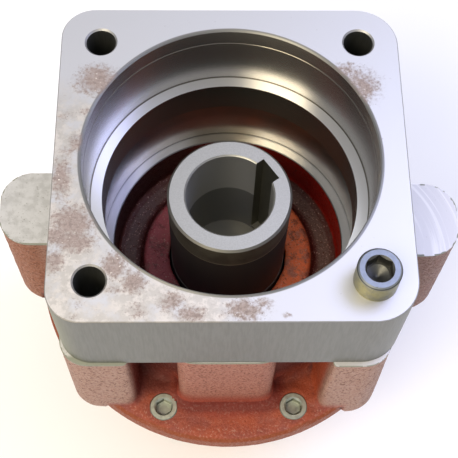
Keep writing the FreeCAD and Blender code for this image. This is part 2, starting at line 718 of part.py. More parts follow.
# Taper roller bearing: its offsets run from the cup's back face towards the collar
class Bearing:
    def __init__(self, name, face, way):
        self.name = name
        self.face = face
        self.way = way

    def at(self, offset):
        return f"({self.face} + {self.way} * ({offset}))"

    def cup_race(self, offset):
        return f"(bearing_outside / 2 - cup_wall + cup_slope * ({offset}))"

    def cone_race(self, offset):
        return f"(bearing_bore / 2 + cone_wall + cone_slope * ({offset}))"

    def middle(self, offset):
        return f"(({self.cup_race(offset)} + {self.cone_race(offset)}) / 2)"

    def roller_radius(self, offset):
        gap = f"({self.cup_race(offset)} - {self.cone_race(offset)})"
        return f"({gap} / 2 * cos(atan(cup_slope)) - running_gap)"

    def cup(self):
        outer = "bearing_outside / 2 - fit_gap"
        return turned(f"{self.name}_cup", [
            (outer, self.at("0")), (outer, self.at("cup_width")),
            (self.cup_race("cup_width"), self.at("cup_width")), (self.cup_race("0"), self.at("0")),
        ])

    def cone(self):
        inner = "bearing_bore / 2 + fit_gap"
        small_rib, large_rib = "cone_small_rib", "bearing_width - cone_large_rib"
        small_reach = f"{self.cone_race(small_rib)} + cone_rib / 2"
        large_reach = f"{self.cone_race(large_rib)} + cone_rib"
        return turned(f"{self.name}_cone", [
            (inner, self.at("0")), (small_reach, self.at("0")), (small_reach, self.at(small_rib)),
            (self.cone_race(small_rib), self.at(small_rib)), (self.cone_race(large_rib), self.at(large_rib)),
            (large_reach, self.at(large_rib)), (large_reach, self.at("bearing_width")),
            (inner, self.at("bearing_width")),
        ])

    def tapered_pieces(self, label, grow):
        """The ring of tapered rollers, or the larger ones that cut the cage's windows."""
        first, last = "roller_end_gap", "(bearing_width - roller_end_gap)"
        low, high = amount_of(first), amount_of(last)
        rise = amount_of(self.middle(last)) - amount_of(self.middle(first))
        lean = math.atan2(rise, high - low)
        pieces = []
        for number in range(sizes["bearing_rollers"]):
            angle = 2 * math.pi * number / sizes["bearing_rollers"]
            outward = FreeCAD.Vector(math.cos(angle), math.sin(angle), 0)
            along = outward * math.sin(lean) + FreeCAD.Vector(0, 0, self.way * math.cos(lean))
            start = outward * amount_of(self.middle(first)) + FreeCAD.Vector(0, 0, amount_of(self.at(first)))
            piece = doc.addObject("Part::Cone", "tapered roller")
            piece.Label = f"{label} {number}"
            bind(piece, "Radius1", f"{self.roller_radius(first)} + {grow}")
            bind(piece, "Radius2", f"{self.roller_radius(last)} + {grow}")
            bind(piece, "Height", f"({last} - {first}) / {math.cos(lean):.9f} + {grow}")
            turn_to = FreeCAD.Rotation(FreeCAD.Vector(0, 0, 1), along)
            piece.Placement = FreeCAD.Placement(start - along * (grow / 2), turn_to)
            pieces.append(piece)
        return pieces

    def rollers(self):
        return join(f"{self.name}_rollers", "Compound", self.tapered_pieces(f"{self.name} roller", 0.0))

    def cage(self):
        low, high, half = "cage_inset", "bearing_width - cage_inset", "cage_wall / 2"
        shell = turned(f"{self.name} cage blank", [
            (f"{self.middle(low)} - {half}", self.at(low)),
            (f"{self.middle(low)} + {half}", self.at(low)),
            (f"{self.middle(high)} + {half}", self.at(high)),
            (f"{self.middle(high)} - {half}", self.at(high)),
        ])
        window = self.tapered_pieces(f"{self.name} window", sizes["cage_window_gap"])
        windows = join(f"{self.name} cage windows", "Compound", window)
        return join(f"{self.name}_cage", "Cut", [shell, windows])


# Straight spline slots cut up from a level, round a bore that is already there
def cut_spline(body, level, length, root, tip, tooth):
    sketch = sketch_on(body, "XY_Plane", level)
    half = f"({tooth} / 2 + spline_gap)"
    inside, outside = f"{root} + spline_root_gap - 1", f"{tip} + spline_tip_gap"
    draw(sketch, [(inside, f"-{half}"), (outside, f"-{half}"), (outside, half), (inside, half)])
    slot = extrude(body, sketch, length, "Pocket", True)
    return repeat(body, [slot], sketch, "spline_teeth")


# Output shaft: keyed bore from above, splined bore for the cardan shaft from below
def make_shaft():
    body = new_body("output_shaft")
    outer, journal, bore = "shaft_diameter / 2", "bearing_bore / 2", "shaft_bore / 2"
    minor = "spline_root + spline_root_gap"
    turn(body, [
        (f"{bore} + 0.6", "-shaft_top"), (f"{outer} - shaft_chamfer", "-shaft_top"),
        (outer, "-shaft_top - shaft_chamfer"), (outer, "-shaft_top - land_height"),
        (f"{outer} - land_step", "-shaft_top - land_height"), (f"{outer} - land_step", f"{hub_z} + 2"),
        (outer, f"{hub_z} + 2"), (outer, f"{seat_z} + 1"), (journal, f"{seat_z} + 1"), (journal, collar_z),
        ("collar_diameter / 2", collar_z), ("collar_diameter / 2", rear_bearing_z), (journal, rear_bearing_z),
        (journal, f"{shaft_end_z} + 1"), (f"{journal} - 1", shaft_end_z),
        ("spline_tip + spline_tip_gap + 1", shaft_end_z), (minor, f"{shaft_end_z} + 3"),
        (minor, spline_z), ("0", spline_z), ("0", web_z), (bore, web_z), (bore, "-shaft_top - 0.6"),
    ])
    keyway = sketch_on(body, "XY_Plane", "-shaft_top")
    bind(keyway, "AttachmentOffset.Rotation.Angle", "keyway_angle")
    half = "keyway_width / 2"
    draw(keyway, [("shaft_bore / 4", f"-{half}"), ("keyway_reach", f"-{half}"),
                  ("keyway_reach", half), ("shaft_bore / 4", half)])
    extrude(body, keyway, "shaft_bore_depth - 2", "Pocket")
    cut_spline(body, f"{shaft_end_z} - {clear}", f"{spline_z} - {shaft_end_z} + {clear}",
               "spline_root", "spline_tip", "spline_tooth")
    return body


def make_shim():
    outer = "bearing_outside / 2 - fit_gap"
    inner = "bearing_outside / 2 - cup_wall + 0.8"
    return turned("bearing_shim", [(inner, plate_z), (outer, plate_z), (outer, shim_z), (inner, shim_z)])


def add_bolt_holes(body, level, depth):
    hole = "bolt_diameter / 2 + bolt_hole_gap"
    return drill(body, level, depth, "0", f"{bolt_circle} / 2", hole, "roller_count")


def make_spacer_plate():
    body = turned("spacer_plate", [
        ("plate_bore / 2", stator_z), (stack, stator_z), (stack, plate_z), ("plate_bore / 2", plate_z),
    ])
    turn(body, ring_groove_outline(ring_middle, stator_z), "Groove")
    add_bolt_holes(body, plate_z, "plate_thickness")
    return body


# Roller gear set: stator ring with its rollers, and the lobed rotor leaning to -Y
stator_bore = "(roller_circle / 2 + 2 * eccentricity - roller_diameter / 2 + stator_bore_gap)"


def make_stator():
    body = turned("stator_ring", [
        (stator_bore, channel_z), (stack, channel_z), (stack, stator_z), (stator_bore, stator_z),
    ])
    drill(body, stator_z, "stator_thickness", "0", "-roller_circle / 2", "roller_diameter / 2 + running_gap",
          "roller_count")
    add_bolt_holes(body, stator_z, "stator_thickness")
    return body


def make_rollers():
    step = 360.0 / sizes["roller_count"]
    return [
        cylinder(f"roller_{number + 1}", "roller_diameter / 2", "stator_thickness - 2 * end_gap",
                 *on_circle("roller_circle", rest_angle + step * number), f"{channel_z} + end_gap")
        for number in range(sizes["roller_count"])
    ]


def rotor_outline():
    """The curve that stays one roller radius inside the path of the roller centres."""
    reach, lean = sizes["roller_circle"] / 2, sizes["eccentricity"]
    inset = sizes["roller_diameter"] / 2 + sizes["rotor_gap"]
    count = sizes["roller_count"]
    spots = []
    for number in range(12 * (count - 1)):
        turn_by = 2 * math.pi * number / (12 * (count - 1))
        x = reach * math.cos(turn_by) - lean * math.cos(count * turn_by)
        y = reach * math.sin(turn_by) - lean * math.sin(count * turn_by)
        along_x = -reach * math.sin(turn_by) + count * lean * math.sin(count * turn_by)
        along_y = reach * math.cos(turn_by) - count * lean * math.cos(count * turn_by)
        speed = math.hypot(along_x, along_y)
        spots.append(FreeCAD.Vector(x - inset * along_y / speed, y + inset * along_x / speed, 0))
    curve = Part.BSplineCurve()
    curve.interpolate(Points=spots, PeriodicFlag=True)
    return Part.Face(Part.Wire([curve.toShape()]))


def make_rotor():
    height = sizes["stator_thickness"] - 2 * sizes["end_gap"]
    lobed = rotor_outline().extrude(FreeCAD.Vector(0, 0, height))
    lobed.rotate(FreeCAD.Vector(0, 0, 0), FreeCAD.Vector(0, 0, 1), rest_angle)
    blank = doc.addObject("Part::Feature", "rotor blank")
    blank.Label = "rotor blank"
    blank.Shape = lobed
    through = f"stator_thickness + 2 * {clear}"
    bore = cylinder("rotor bore", "spline_root + spline_root_gap", through, z=f"-{clear}")
    tools = [bore]
    for number in range(sizes["spline_teeth"]):
        slot = doc.addObject("Part::Box", "rotor slot")
        slot.Label = f"rotor slot {number}"
        bind(slot, "Length", "spline_tip + spline_tip_gap")
        bind(slot, "Width", "spline_tooth + 2 * spline_gap")
        bind(slot, "Height", through)
        angle = 360.0 * number / sizes["spline_teeth"]
        turn_by = FreeCAD.Rotation(FreeCAD.Vector(0, 0, 1), angle)
        half = amount_of("spline_tooth / 2 + spline_gap")
        corner = turn_by.multVec(FreeCAD.Vector(0, -half, 0)) - FreeCAD.Vector(0, 0, clear)
        slot.Placement = FreeCAD.Placement(corner, turn_by)
        tools.append(slot)
    rotor = join("rotor", "Cut", [blank, join("rotor spline", "MultiFuse", tools)])
    return place(rotor, y="-eccentricity", z=f"{channel_z} + end_gap")


# Splined drives that lean between two centres: crowned teeth let them tilt
def add_crowned_teeth(body, centre, head, slope, root, tip, tooth):
    half, drop = f"({head} / 2)", f"({head} / 2 * {slope} + 0.12)"
    wide, narrow = f"({tooth} / 2)", f"({tooth} / 2 - {drop})"
    low, high = f"({centre} - {half})", f"({centre} + {half})"
    sketch = sketch_on(body, "YZ_Plane", f"{root} - 1")
    draw(sketch, [
        (narrow, low, wide, centre), (narrow, high),
        (f"-{narrow}", high, f"-{wide}", centre), (f"-{narrow}", low),
    ])
    tooth_pad = extrude(body, sketch, f"{tip} - {root} + 1")
    pattern = body.newObject("PartDesign::PolarPattern", "pattern")
    pattern.Originals = [tooth_pad]
    axis = next(f for f in body.Origin.OriginFeatures if f.Role == "Z_Axis")
    pattern.Axis = (axis, [""])
    pattern.Angle = 360
    bind(pattern, "Occurrences", "spline_teeth")
    body.Tip = pattern
    doc.recompute()
    edge = f"{tip} - {drop}"
    turn(body, [(edge, low, tip, centre), (edge, high), (f"{tip} + 2", high), (f"{tip} + 2", low)], "Groove")


def make_drive(label, top_z, top, bottom_z, bottom, stem):
    """Each end is (head length, root, tip, tooth width, flat nose radius)."""
    drop = f"({top_z} - {bottom_z})"
    length = f"sqrt({drop} * {drop} + eccentricity * eccentricity)"
    slope = f"(eccentricity / {drop})"
    head_1, root_1, tip_1, tooth_1, nose_1 = top
    head_2, root_2, tip_2, tooth_2, nose_2 = bottom
    body = turned(label, [
        ("0", f"{head_1} / 2"), (nose_1, f"{head_1} / 2"), (root_1, f"{head_1} / 2 - 2.5"),
        (root_1, f"-{head_1} / 2"), (stem, f"-{head_1} / 2 - 2"), (stem, f"-{length} + {head_2} / 2 + 2"),
        (root_2, f"-{length} + {head_2} / 2"), (root_2, f"-{length} - {head_2} / 2 + 2"),
        (nose_2, f"-{length} - {head_2} / 2"), ("0", f"-{length} - {head_2} / 2"),
    ])
    add_crowned_teeth(body, "0", head_1, slope, root_1, tip_1, tooth_1)
    add_crowned_teeth(body, f"(-{length})", head_2, slope, root_2, tip_2, tooth_2)
    return body, slope


def lean(body, slope, way):
    body.Placement = FreeCAD.Placement(body.Placement.Base, FreeCAD.Rotation(FreeCAD.Vector(1, 0, 0), way))
    bind(body, "Placement.Rotation.Angle", f"atan({way} * {slope})")
    return body


def make_cardan():
    body, slope = make_drive(
        "cardan_shaft",
        drive_z, ("drive_head", "spline_root", "spline_tip", "spline_tooth", "spline_root - 3"),
        drive_rotor_z, ("drive_rotor_head", "spline_root", "spline_tip", "spline_tooth", "spline_root - 3"),
        "drive_body / 2")
    return place(lean(body, slope, -1), z=drive_z)


def make_valve_drive():
    body, slope = make_drive(
        "valve_drive",
        valve_drive_z, ("valve_drive_head", "spline_root", "spline_tip", "spline_tooth", "spline_root / 2"),
        valve_spline_z, ("valve_drive_head", "valve_spline_root", "valve_spline_tip", "valve_spline_tooth",
                         "valve_spline_root - 2"),
        "valve_drive_body / 2")
    return place(lean(body, slope, 1), y="-eccentricity", z=valve_drive_z)


def make_drive_spacer():
    return cylinder("drive_spacer", "spline_root - 1", "drive_spacer_thickness",
                    "0", "-eccentricity", spacer_low_z)


def draw_slot(sketch, inner, outer, width):
    """A round-ended slot that runs out along +Y."""
    half = f"({width} / 2)"
    draw(sketch, [
        (half, f"{inner} + {half}"), (half, f"{outer} - {half}", "0", outer),
        (f"-{half}", f"{outer} - {half}"), (f"-{half}", f"{inner} + {half}", "0", inner),
    ])


def make_channel_plate():
    body = turned("channel_plate", [
        ("plate_bore / 2", valve_z), (stack, valve_z), (stack, channel_z), ("plate_bore / 2", channel_z),
    ])
    turn(body, ring_groove_outline(ring_middle, channel_z, -1), "Groove")
    slot = sketch_on(body, "XY_Plane", channel_z)
    draw_slot(slot, "channel_inner", "channel_outer", "channel_slot_width")
    cut = extrude(body, slot, "channel_thickness", "Pocket")
    repeat(body, [cut], slot, "roller_count")
    add_bolt_holes(body, channel_z, "channel_thickness")
    return body


# Disc valve: feed slots and rim notches take turns round its face
def make_valve_disc():
    outer, minor = "valve_diameter / 2", "valve_spline_root + spline_root_gap"
    low, high = f"({valve_z} - valve_thickness)", f"({valve_z} - end_gap)"
    body = turned("valve_disc", [(minor, low), (outer, low), (outer, high), (minor, high)])
    feed = sketch_on(body, "XY_Plane", high)
    draw_slot(feed, "channel_inner - 1", f"{outer} - 3", "valve_port_width")
    cut = extrude(body, feed, "valve_thickness", "Pocket")
    repeat(body, [cut], feed, "roller_count - 1")
    notch = sketch_on(body, "XY_Plane", high)
    bind(notch, "AttachmentOffset.Rotation.Angle", "180 / (roller_count - 1)")
    draw_slot(notch, "channel_inner - 1", f"{outer} + 4", "valve_port_width")
    cut = extrude(body, notch, "valve_thickness / 2", "Pocket")
    repeat(body, [cut], notch, "roller_count - 1")
    cut_spline(body, f"{low} - {clear}", f"valve_thickness + 2 * {clear}",
               "valve_spline_root", "valve_spline_tip", "valve_spline_tooth")
    return body


def make_balance_plate():
    outer = "valve_diameter / 2 + chamber_gap - 0.1"
    return turned("balance_plate", [
        ("balance_bore / 2", spring_z), ("balance_bore / 2 + 15", spring_z),
        ("balance_bore / 2 + 15", f"{spring_z} + 1.2"), (outer, f"{spring_z} + 1.2"),
        (outer, balance_z), ("balance_bore / 2", balance_z),
    ])


def make_disc_spring():
    inner, outer = "balance_bore / 2 + 3", "balance_bore / 2 + 12"
    top, drop = f"{spring_z} - 0.02", "(spring_height - spring_thickness - 0.04)"
    return turned("disc_spring", [
        (inner, top), (inner, f"{top} - spring_thickness"), (outer, f"{top} - {drop} - spring_thickness"),
        (outer, f"{top} - {drop}"),
    ])


# End cover: valve chamber, side ports on a flat pad, and recesses for the bolt heads
def make_cover():
    chamber = "valve_diameter / 2 + chamber_gap"
    body = turned("end_cover", [
        (chamber, valve_z), (stack, valve_z), (stack, f"{rear_z} + 1.5"), (f"{stack} - 1.5", rear_z),
        ("0", rear_z), ("0", chamber_z), (chamber, chamber_z),
    ])
    half, root = "port_pad_width / 2", f"{chamber} + 4"
    pad = sketch_on(body, "XY_Plane", f"{port_z} - port_pad_height / 2")
    draw(pad, [(half, root), (half, "port_face"), (f"-{half}", "port_face"), (f"-{half}", root)])
    extrude(body, pad, "port_pad_height")
    face = amount_of("port_face")
    round_edges(body, "port_pad_round", lambda e: stands(e) and abs(e.CenterOfMass.y - face) < 1e-3)
    turn(body, ring_groove_outline(ring_middle, valve_z, -1), "Groove")
    add_bolt_holes(body, valve_z, "cover_thickness")
    recess = "bolt_recess_diameter / 2"
    drill(body, rear_z, "bolt_recess", "0", f"{bolt_circle} / 2", recess, "roller_count", True)
    ports = sketch_on(body, "XZ_Plane", "-port_face")
    passages = sketch_on(body, "XZ_Plane", "-port_face")
    for side in ("-1", "1"):
        circle(ports, f"{side} * port_spacing / 2", port_z, "port_diameter / 2")
        circle(passages, f"{side} * port_spacing / 2", port_z, "port_passage / 2")
    extrude(body, ports, "port_depth", "Pocket", True)
    wall = f"sqrt(({chamber})^2 - (port_spacing / 2)^2)"
    extrude(body, passages, f"port_face - {wall} + 3 * {clear}", "Pocket", True)
    return body


def make_cover_bolts():
    bolts = []
    for number, (x, y) in enumerate(bolt_spots()):
        shank = cylinder(f"bolt shank {number}", "bolt_diameter / 2", "bolt_length", x, y, bolt_seat_z)
        head = doc.addObject("Part::Prism", "bolt head")
        head.Label = f"bolt head {number}"
        head.Polygon = 6
        bind(head, "Circumradius", f"bolt_flats / {root_three}")
        bind(head, "Height", "bolt_head")
        place(head, x, y, f"{bolt_seat_z} - bolt_head")
        bolts.append(join(f"cover bolt {number}", "MultiFuse", [head, shank]))
    return join("cover_bolts", "Compound", bolts)


parts = [
    make_block(), make_dowels(), make_screw(), make_housing(),
    make_ring("block_seal", block_ring_middle, joint_z, -1), make_base_plug("plug_left", -1),
    make_base_plug("plug_right", 1), make_drain_plug(), make_drain_washer(), make_shaft(), make_seal(),
    make_seal_spring(),
]
for bearing in (Bearing("front", seat_z, -1), Bearing("rear", shim_z, 1)):
    parts += [bearing.cup(), bearing.cone(), bearing.rollers(), bearing.cage()]
parts += [
    make_shim(), make_ring("housing_seal", ring_middle, plate_z), make_spacer_plate(),
    make_ring("front_stator_seal", ring_middle, stator_z), make_stator(), *make_rollers(), make_rotor(),
    make_cardan(), make_drive_spacer(), make_ring("rear_stator_seal", ring_middle, channel_z, -1),
    make_channel_plate(), make_valve_drive(), make_valve_disc(), make_balance_plate(), make_disc_spring(),
    make_ring("cover_seal", ring_middle, valve_z, -1), make_cover(), make_cover_bolts(),
]
doc.recompute()

# Nothing is written unless every object built and every piece is a sound solid
broken = [thing.Label for thing in doc.Objects if {"Invalid", "Error"} & set(thing.State)]
if broken:
    raise RuntimeError(f"failed objects: {broken}")
for part in parts:
    if part.Shape.isNull() or not part.Shape.isValid() or not part.Shape.Solids:
        raise RuntimeError(f"{part.Label} isn't a sound solid")
for part in parts:
    part.Shape.exportStep(f"parts/{part.Label}.step")
    print(f"{part.Label}: {len(part.Shape.Solids)} solids, {part.Shape.Volume / 1000:.2f} cm3")
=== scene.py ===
import math
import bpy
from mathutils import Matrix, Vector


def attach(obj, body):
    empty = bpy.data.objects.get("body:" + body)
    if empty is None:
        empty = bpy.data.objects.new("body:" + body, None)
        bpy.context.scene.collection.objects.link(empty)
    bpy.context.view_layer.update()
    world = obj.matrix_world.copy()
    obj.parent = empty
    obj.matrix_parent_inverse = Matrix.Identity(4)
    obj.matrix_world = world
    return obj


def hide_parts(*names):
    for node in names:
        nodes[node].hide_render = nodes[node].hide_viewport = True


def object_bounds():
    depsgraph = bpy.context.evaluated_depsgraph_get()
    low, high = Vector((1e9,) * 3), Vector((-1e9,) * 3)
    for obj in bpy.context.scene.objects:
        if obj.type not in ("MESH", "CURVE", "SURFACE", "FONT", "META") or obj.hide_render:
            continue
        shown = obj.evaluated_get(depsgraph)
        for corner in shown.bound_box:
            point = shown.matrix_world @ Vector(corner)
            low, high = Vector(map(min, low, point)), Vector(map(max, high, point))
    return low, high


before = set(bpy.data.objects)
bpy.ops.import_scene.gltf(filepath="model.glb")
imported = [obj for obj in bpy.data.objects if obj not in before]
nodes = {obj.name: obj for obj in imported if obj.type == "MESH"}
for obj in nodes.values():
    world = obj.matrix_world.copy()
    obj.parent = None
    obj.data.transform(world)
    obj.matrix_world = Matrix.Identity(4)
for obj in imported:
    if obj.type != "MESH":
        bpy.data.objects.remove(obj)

from types import SimpleNamespace

import bmesh
import bpy
from mathutils import Matrix, Vector, noise

# Orbital hydraulic motor, seen down into its output end. Lengths are in millimetres and turn
# to metres where a mesh or a light is made.
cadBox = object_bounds()
mm = 0.001


def linear(code):
    # sRGB hex to the linear values that Blender's sockets take
    parts = [int(code[i:i + 2], 16) / 255 for i in (1, 3, 5)]
    return [c / 12.92 if c <= 0.04045 else ((c + 0.055) / 1.055) ** 2.4 for c in parts] + [1.0]


def feed(tree, node, inputs):
    # Links the sockets among the inputs, and sets the others as plain values
    for key, value in inputs.items():
        if isinstance(value, bpy.types.NodeSocket):
            tree.links.new(value, node.inputs[key])
        else:
            node.inputs[key].default_value = value


def addNode(tree, kind, inputs=None, **settings):
    node = tree.nodes.new("ShaderNode" + kind)
    for key, value in settings.items():
        setattr(node, key, value)
    feed(tree, node, inputs or {})
    return node


def setShader(tree, base, **inputs):
    feed(tree, base, {key.replace("_", " "): value for key, value in inputs.items()})


def startMaterial(name, **shader):
    # A Principled shader with its plain settings, and the surface's place in millimetres
    material = bpy.data.materials.new(name)
    material.use_nodes = True
    tree = material.node_tree
    base = tree.nodes["Principled BSDF"]
    setShader(tree, base, **shader)
    spot = addNode(tree, "TexCoord").outputs["Object"]
    place = addNode(tree, "VectorMath", {0: spot, "Scale": 1000.0}, operation="SCALE").outputs[0]
    return material, tree, base, place


def measure(tree, place):
    # Where the surface lies, how far it faces up and how far to the right, as sockets for masks
    x, y, z = addNode(tree, "SeparateXYZ", {0: place}).outputs
    level = addNode(tree, "CombineXYZ", {0: x, 1: y}).outputs[0]
    radius = length(tree, level)
    normal = addNode(tree, "NewGeometry").outputs["Normal"]
    across, _, facing = addNode(tree, "SeparateXYZ", {0: normal}).outputs
    return SimpleNamespace(x=x, y=y, z=z, level=level, radius=radius, facing=facing, across=across)


def combine(tree, first, second, operation="MULTIPLY"):
    return addNode(tree, "Math", {0: first, 1: second}, operation=operation).outputs[0]


def allOf(tree, *masks):
    # Shows only where every mask does
    total = masks[0]
    for mask in masks[1:]:
        total = combine(tree, total, mask)
    return total


def anyOf(tree, first, second):
    return combine(tree, first, second, "MAXIMUM")


def invert(tree, mask):
    return combine(tree, 1.0, mask, "SUBTRACT")


def absolute(tree, value):
    return addNode(tree, "Math", {0: value}, operation="ABSOLUTE").outputs[0]


def vector(tree, operation, first, second):
    return addNode(tree, "VectorMath", {0: first, 1: second}, operation=operation).outputs[0]


def length(tree, value):
    return addNode(tree, "VectorMath", {0: value}, operation="LENGTH").outputs[1]


def window(tree, value, low, high, out=(0.0, 1.0)):
    # A soft step from out[0] to out[1] as value goes from low to high
    step = addNode(tree, "MapRange", {0: value, 1: low, 2: high, 3: out[0], 4: out[1]},
                   interpolation_type="SMOOTHSTEP")
    return step.outputs[0]


def band(tree, value, low, high, soft):
    # 1 between low and high, fading out over soft on either side
    return combine(tree, window(tree, value, low - soft, low), window(tree, value, high + soft, high))


def faceUp(tree, at):
    return window(tree, at.facing, 0.5, 0.9)


def area(tree, at, spanX, spanY):
    # A part of the plan, fading in from the first x to the second and from the first y to the second
    return allOf(tree, window(tree, at.x, *spanX), window(tree, at.y, *spanY))


def blend(tree, amount, first, second):
    # Goes from the first colour to the second as amount goes from 0 to 1
    return addNode(tree, "Mix", {0: amount, 6: first, 7: second}, data_type="RGBA").outputs[2]


def paint(tree, colour, *coats):
    # Lays coats over a colour, each a mask with its hex code or its colour socket
    colour = linear(colour) if isinstance(colour, str) else colour
    for mask, coat in coats:
        colour = blend(tree, mask, colour, linear(coat) if isinstance(coat, str) else coat)
    return colour


def settle(tree, value, *coats):
    # The same for a plain number, such as a roughness
    for mask, coat in coats:
        value = addNode(tree, "Mix", {0: mask, 2: value, 3: coat}, data_type="FLOAT").outputs[0]
    return value


def grain(tree, place, size, detail=3.0, roughness=0.55, stretch=None, warp=0.0):
    # Noise whose lumps are about size millimetres across, squeezed along each axis by stretch
    if stretch:
        place = vector(tree, "MULTIPLY", place, stretch)
    made = addNode(tree, "TexNoise", {"Vector": place, "Scale": 1.0 / size, "Detail": detail,
                                      "Roughness": roughness, "Distortion": warp})
    return made.outputs["Fac"]


def turnedLines(tree, at, size):
    # Tool marks that run round the axis, on walls and on faces; real ones are about 0.1 mm apart,
    # too fine for the picture, so they are drawn coarser
    along = combine(tree, at.radius, at.z, "ADD")
    rings = addNode(tree, "CombineXYZ", {0: along, 1: combine(tree, at.z, 0.2)}).outputs[0]
    return grain(tree, rings, size, detail=2.0)


def turnAnisotropy(tree, base, amount):
    # Light spreads across the tool marks, so the highlights stand upright on a bore's wall
    tangent = addNode(tree, "Tangent", direction_type="RADIAL", axis="Z").outputs[0]
    setShader(tree, base, Anisotropic=amount, Anisotropic_Rotation=0.25, Tangent=tangent)


def bumpBy(tree, base, height, distance, strength=1.0, under=None):
    # Bumps the surface by a height map, distance millimetres from lowest to highest
    inputs = {"Height": height, "Distance": distance * mm, "Strength": strength}
    if under is not None:
        inputs["Normal"] = under
    bump = addNode(tree, "Bump", inputs).outputs[0]
    setShader(tree, base, Normal=bump)
    return bump


# In the tables of looks, a pair says from which height, radius or distance to which one a mask fades
# in, and a triple is a band with how far it fades out. Sizes of grain and of tool marks, drawn
# coarser than real, are in millimetres too. Two numbers behind a noise are where a mask starts and
# ends on its range from 0 to 1.

# Milled steel block, bare and rust stained where it was handled: a pale satin top with pink brown
# patches, greyer sides, and darker glossy turned walls between bright ledges inside.
blockLook = {
    "top": "#D2D2D6", "topWarm": "#C8C3BD", "cream": "#DCD6D0", "side": "#7E7F7C",
    "sideDark": "#767774", "sideGreen": "#868876", "edge": "#50504B", "wall": "#9A9793",
    "deepWall": "#7C8681", "ledge": "#EAEAEC", "lineShade": "#76726B", "rim": "#8E8D8A",
    "rust": "#998B87", "rustDark": "#837673", "speck": "#5C5049",
    "topFace": (-2.0, -1.0), "edgeShadeLevel": (-0.8, -0.5), "rimEdge": (-0.75, -0.6),
    "bore": (64.2, 63.6),
    "ledgeLevel": (-30.0, -34.0), "deepLevel": (-36.8, -37.6), "groove": (-9.5, -8.7, 0.2),
    "cornerLevel": (-35.8, -36.1), "cornerRadius": (62.0, 62.2),
    "leftStrip": ((-40.0, -60.0), (42.0, 16.0)), "frontStrip": ((4.0, -8.0), (-44.0, -60.0)),
    "greenCorner": ((-62.0, -76.0), (-30.0, -60.0)),
    "cloud": 12.0, "streak": 0.8, "fine": 1.5, "mottle": 5.0, "crust": 5.0, "spot": 1.1, "dot": 0.7,
    "lines": 0.35, "streakStretch": 0.08, "crustWeight": 1.7,
    "sideRough": 0.5, "wallRough": 0.26, "ledgeRough": 0.3, "rimRough": 0.5, "topRough": 0.52,
    "rustRough": 0.75, "rustDull": 0.75, "wallAnisotropy": 0.8,
}
# Each stain lies at x, y on the top face, with its half widths and its strength; it fades in from
# the first to the second of stainFade, counted in half widths
stains = [
    (-57.0, 36.5, 10.0, 8.0, 1.0), (-70.0, 19.0, 4.0, 3.0, 0.5), (-62.0, 21.0, 4.0, 2.0, 0.5),
    (-65.0, 6.0, 3.5, 5.0, 0.8), (-68.0, 2.0, 4.0, 3.0, 0.55), (-70.0, -11.0, 4.5, 11.0, 0.85),
    (-64.0, -31.0, 9.0, 8.0, 1.0), (-70.0, -37.0, 6.0, 4.0, 1.0), (-64.0, -39.0, 10.0, 6.0, 0.95),
    (-71.0, -48.0, 4.5, 6.0, 0.85), (-47.0, -50.0, 5.0, 6.0, 1.0), (-39.0, -57.0, 5.0, 5.5, 1.0),
    (-47.0, -60.0, 4.0, 3.0, 0.6), (-37.0, -69.0, 5.0, 4.0, 0.6), (-24.0, -65.5, 6.0, 4.5, 0.8),
    (-17.0, -70.5, 8.0, 4.0, 0.75), (5.0, -69.0, 9.0, 5.5, 0.85), (12.0, -66.5, 4.0, 3.0, 0.7),
    (-61.0, -66.0, 3.5, 2.0, 0.5), (-62.0, -71.5, 3.0, 2.0, 0.55), (56.0, 34.0, 9.0, 10.0, 0.85),
    (50.0, 42.0, 6.0, 5.0, 0.7), (21.0, -71.0, 2.0, 1.5, 0.6),
]
stainFade = (1.7, 0.15)


def stainDensity(tree, level):
    total = None
    for centreX, centreY, halfX, halfY, strength in stains:
        away = vector(tree, "ADD", level, (-centreX, -centreY, 0.0))
        shrunk = vector(tree, "MULTIPLY", away, (1 / halfX, 1 / halfY, 0.0))
        here = window(tree, length(tree, shrunk), *stainFade, out=(0.0, strength))
        total = here if total is None else anyOf(tree, total, here)
    return total


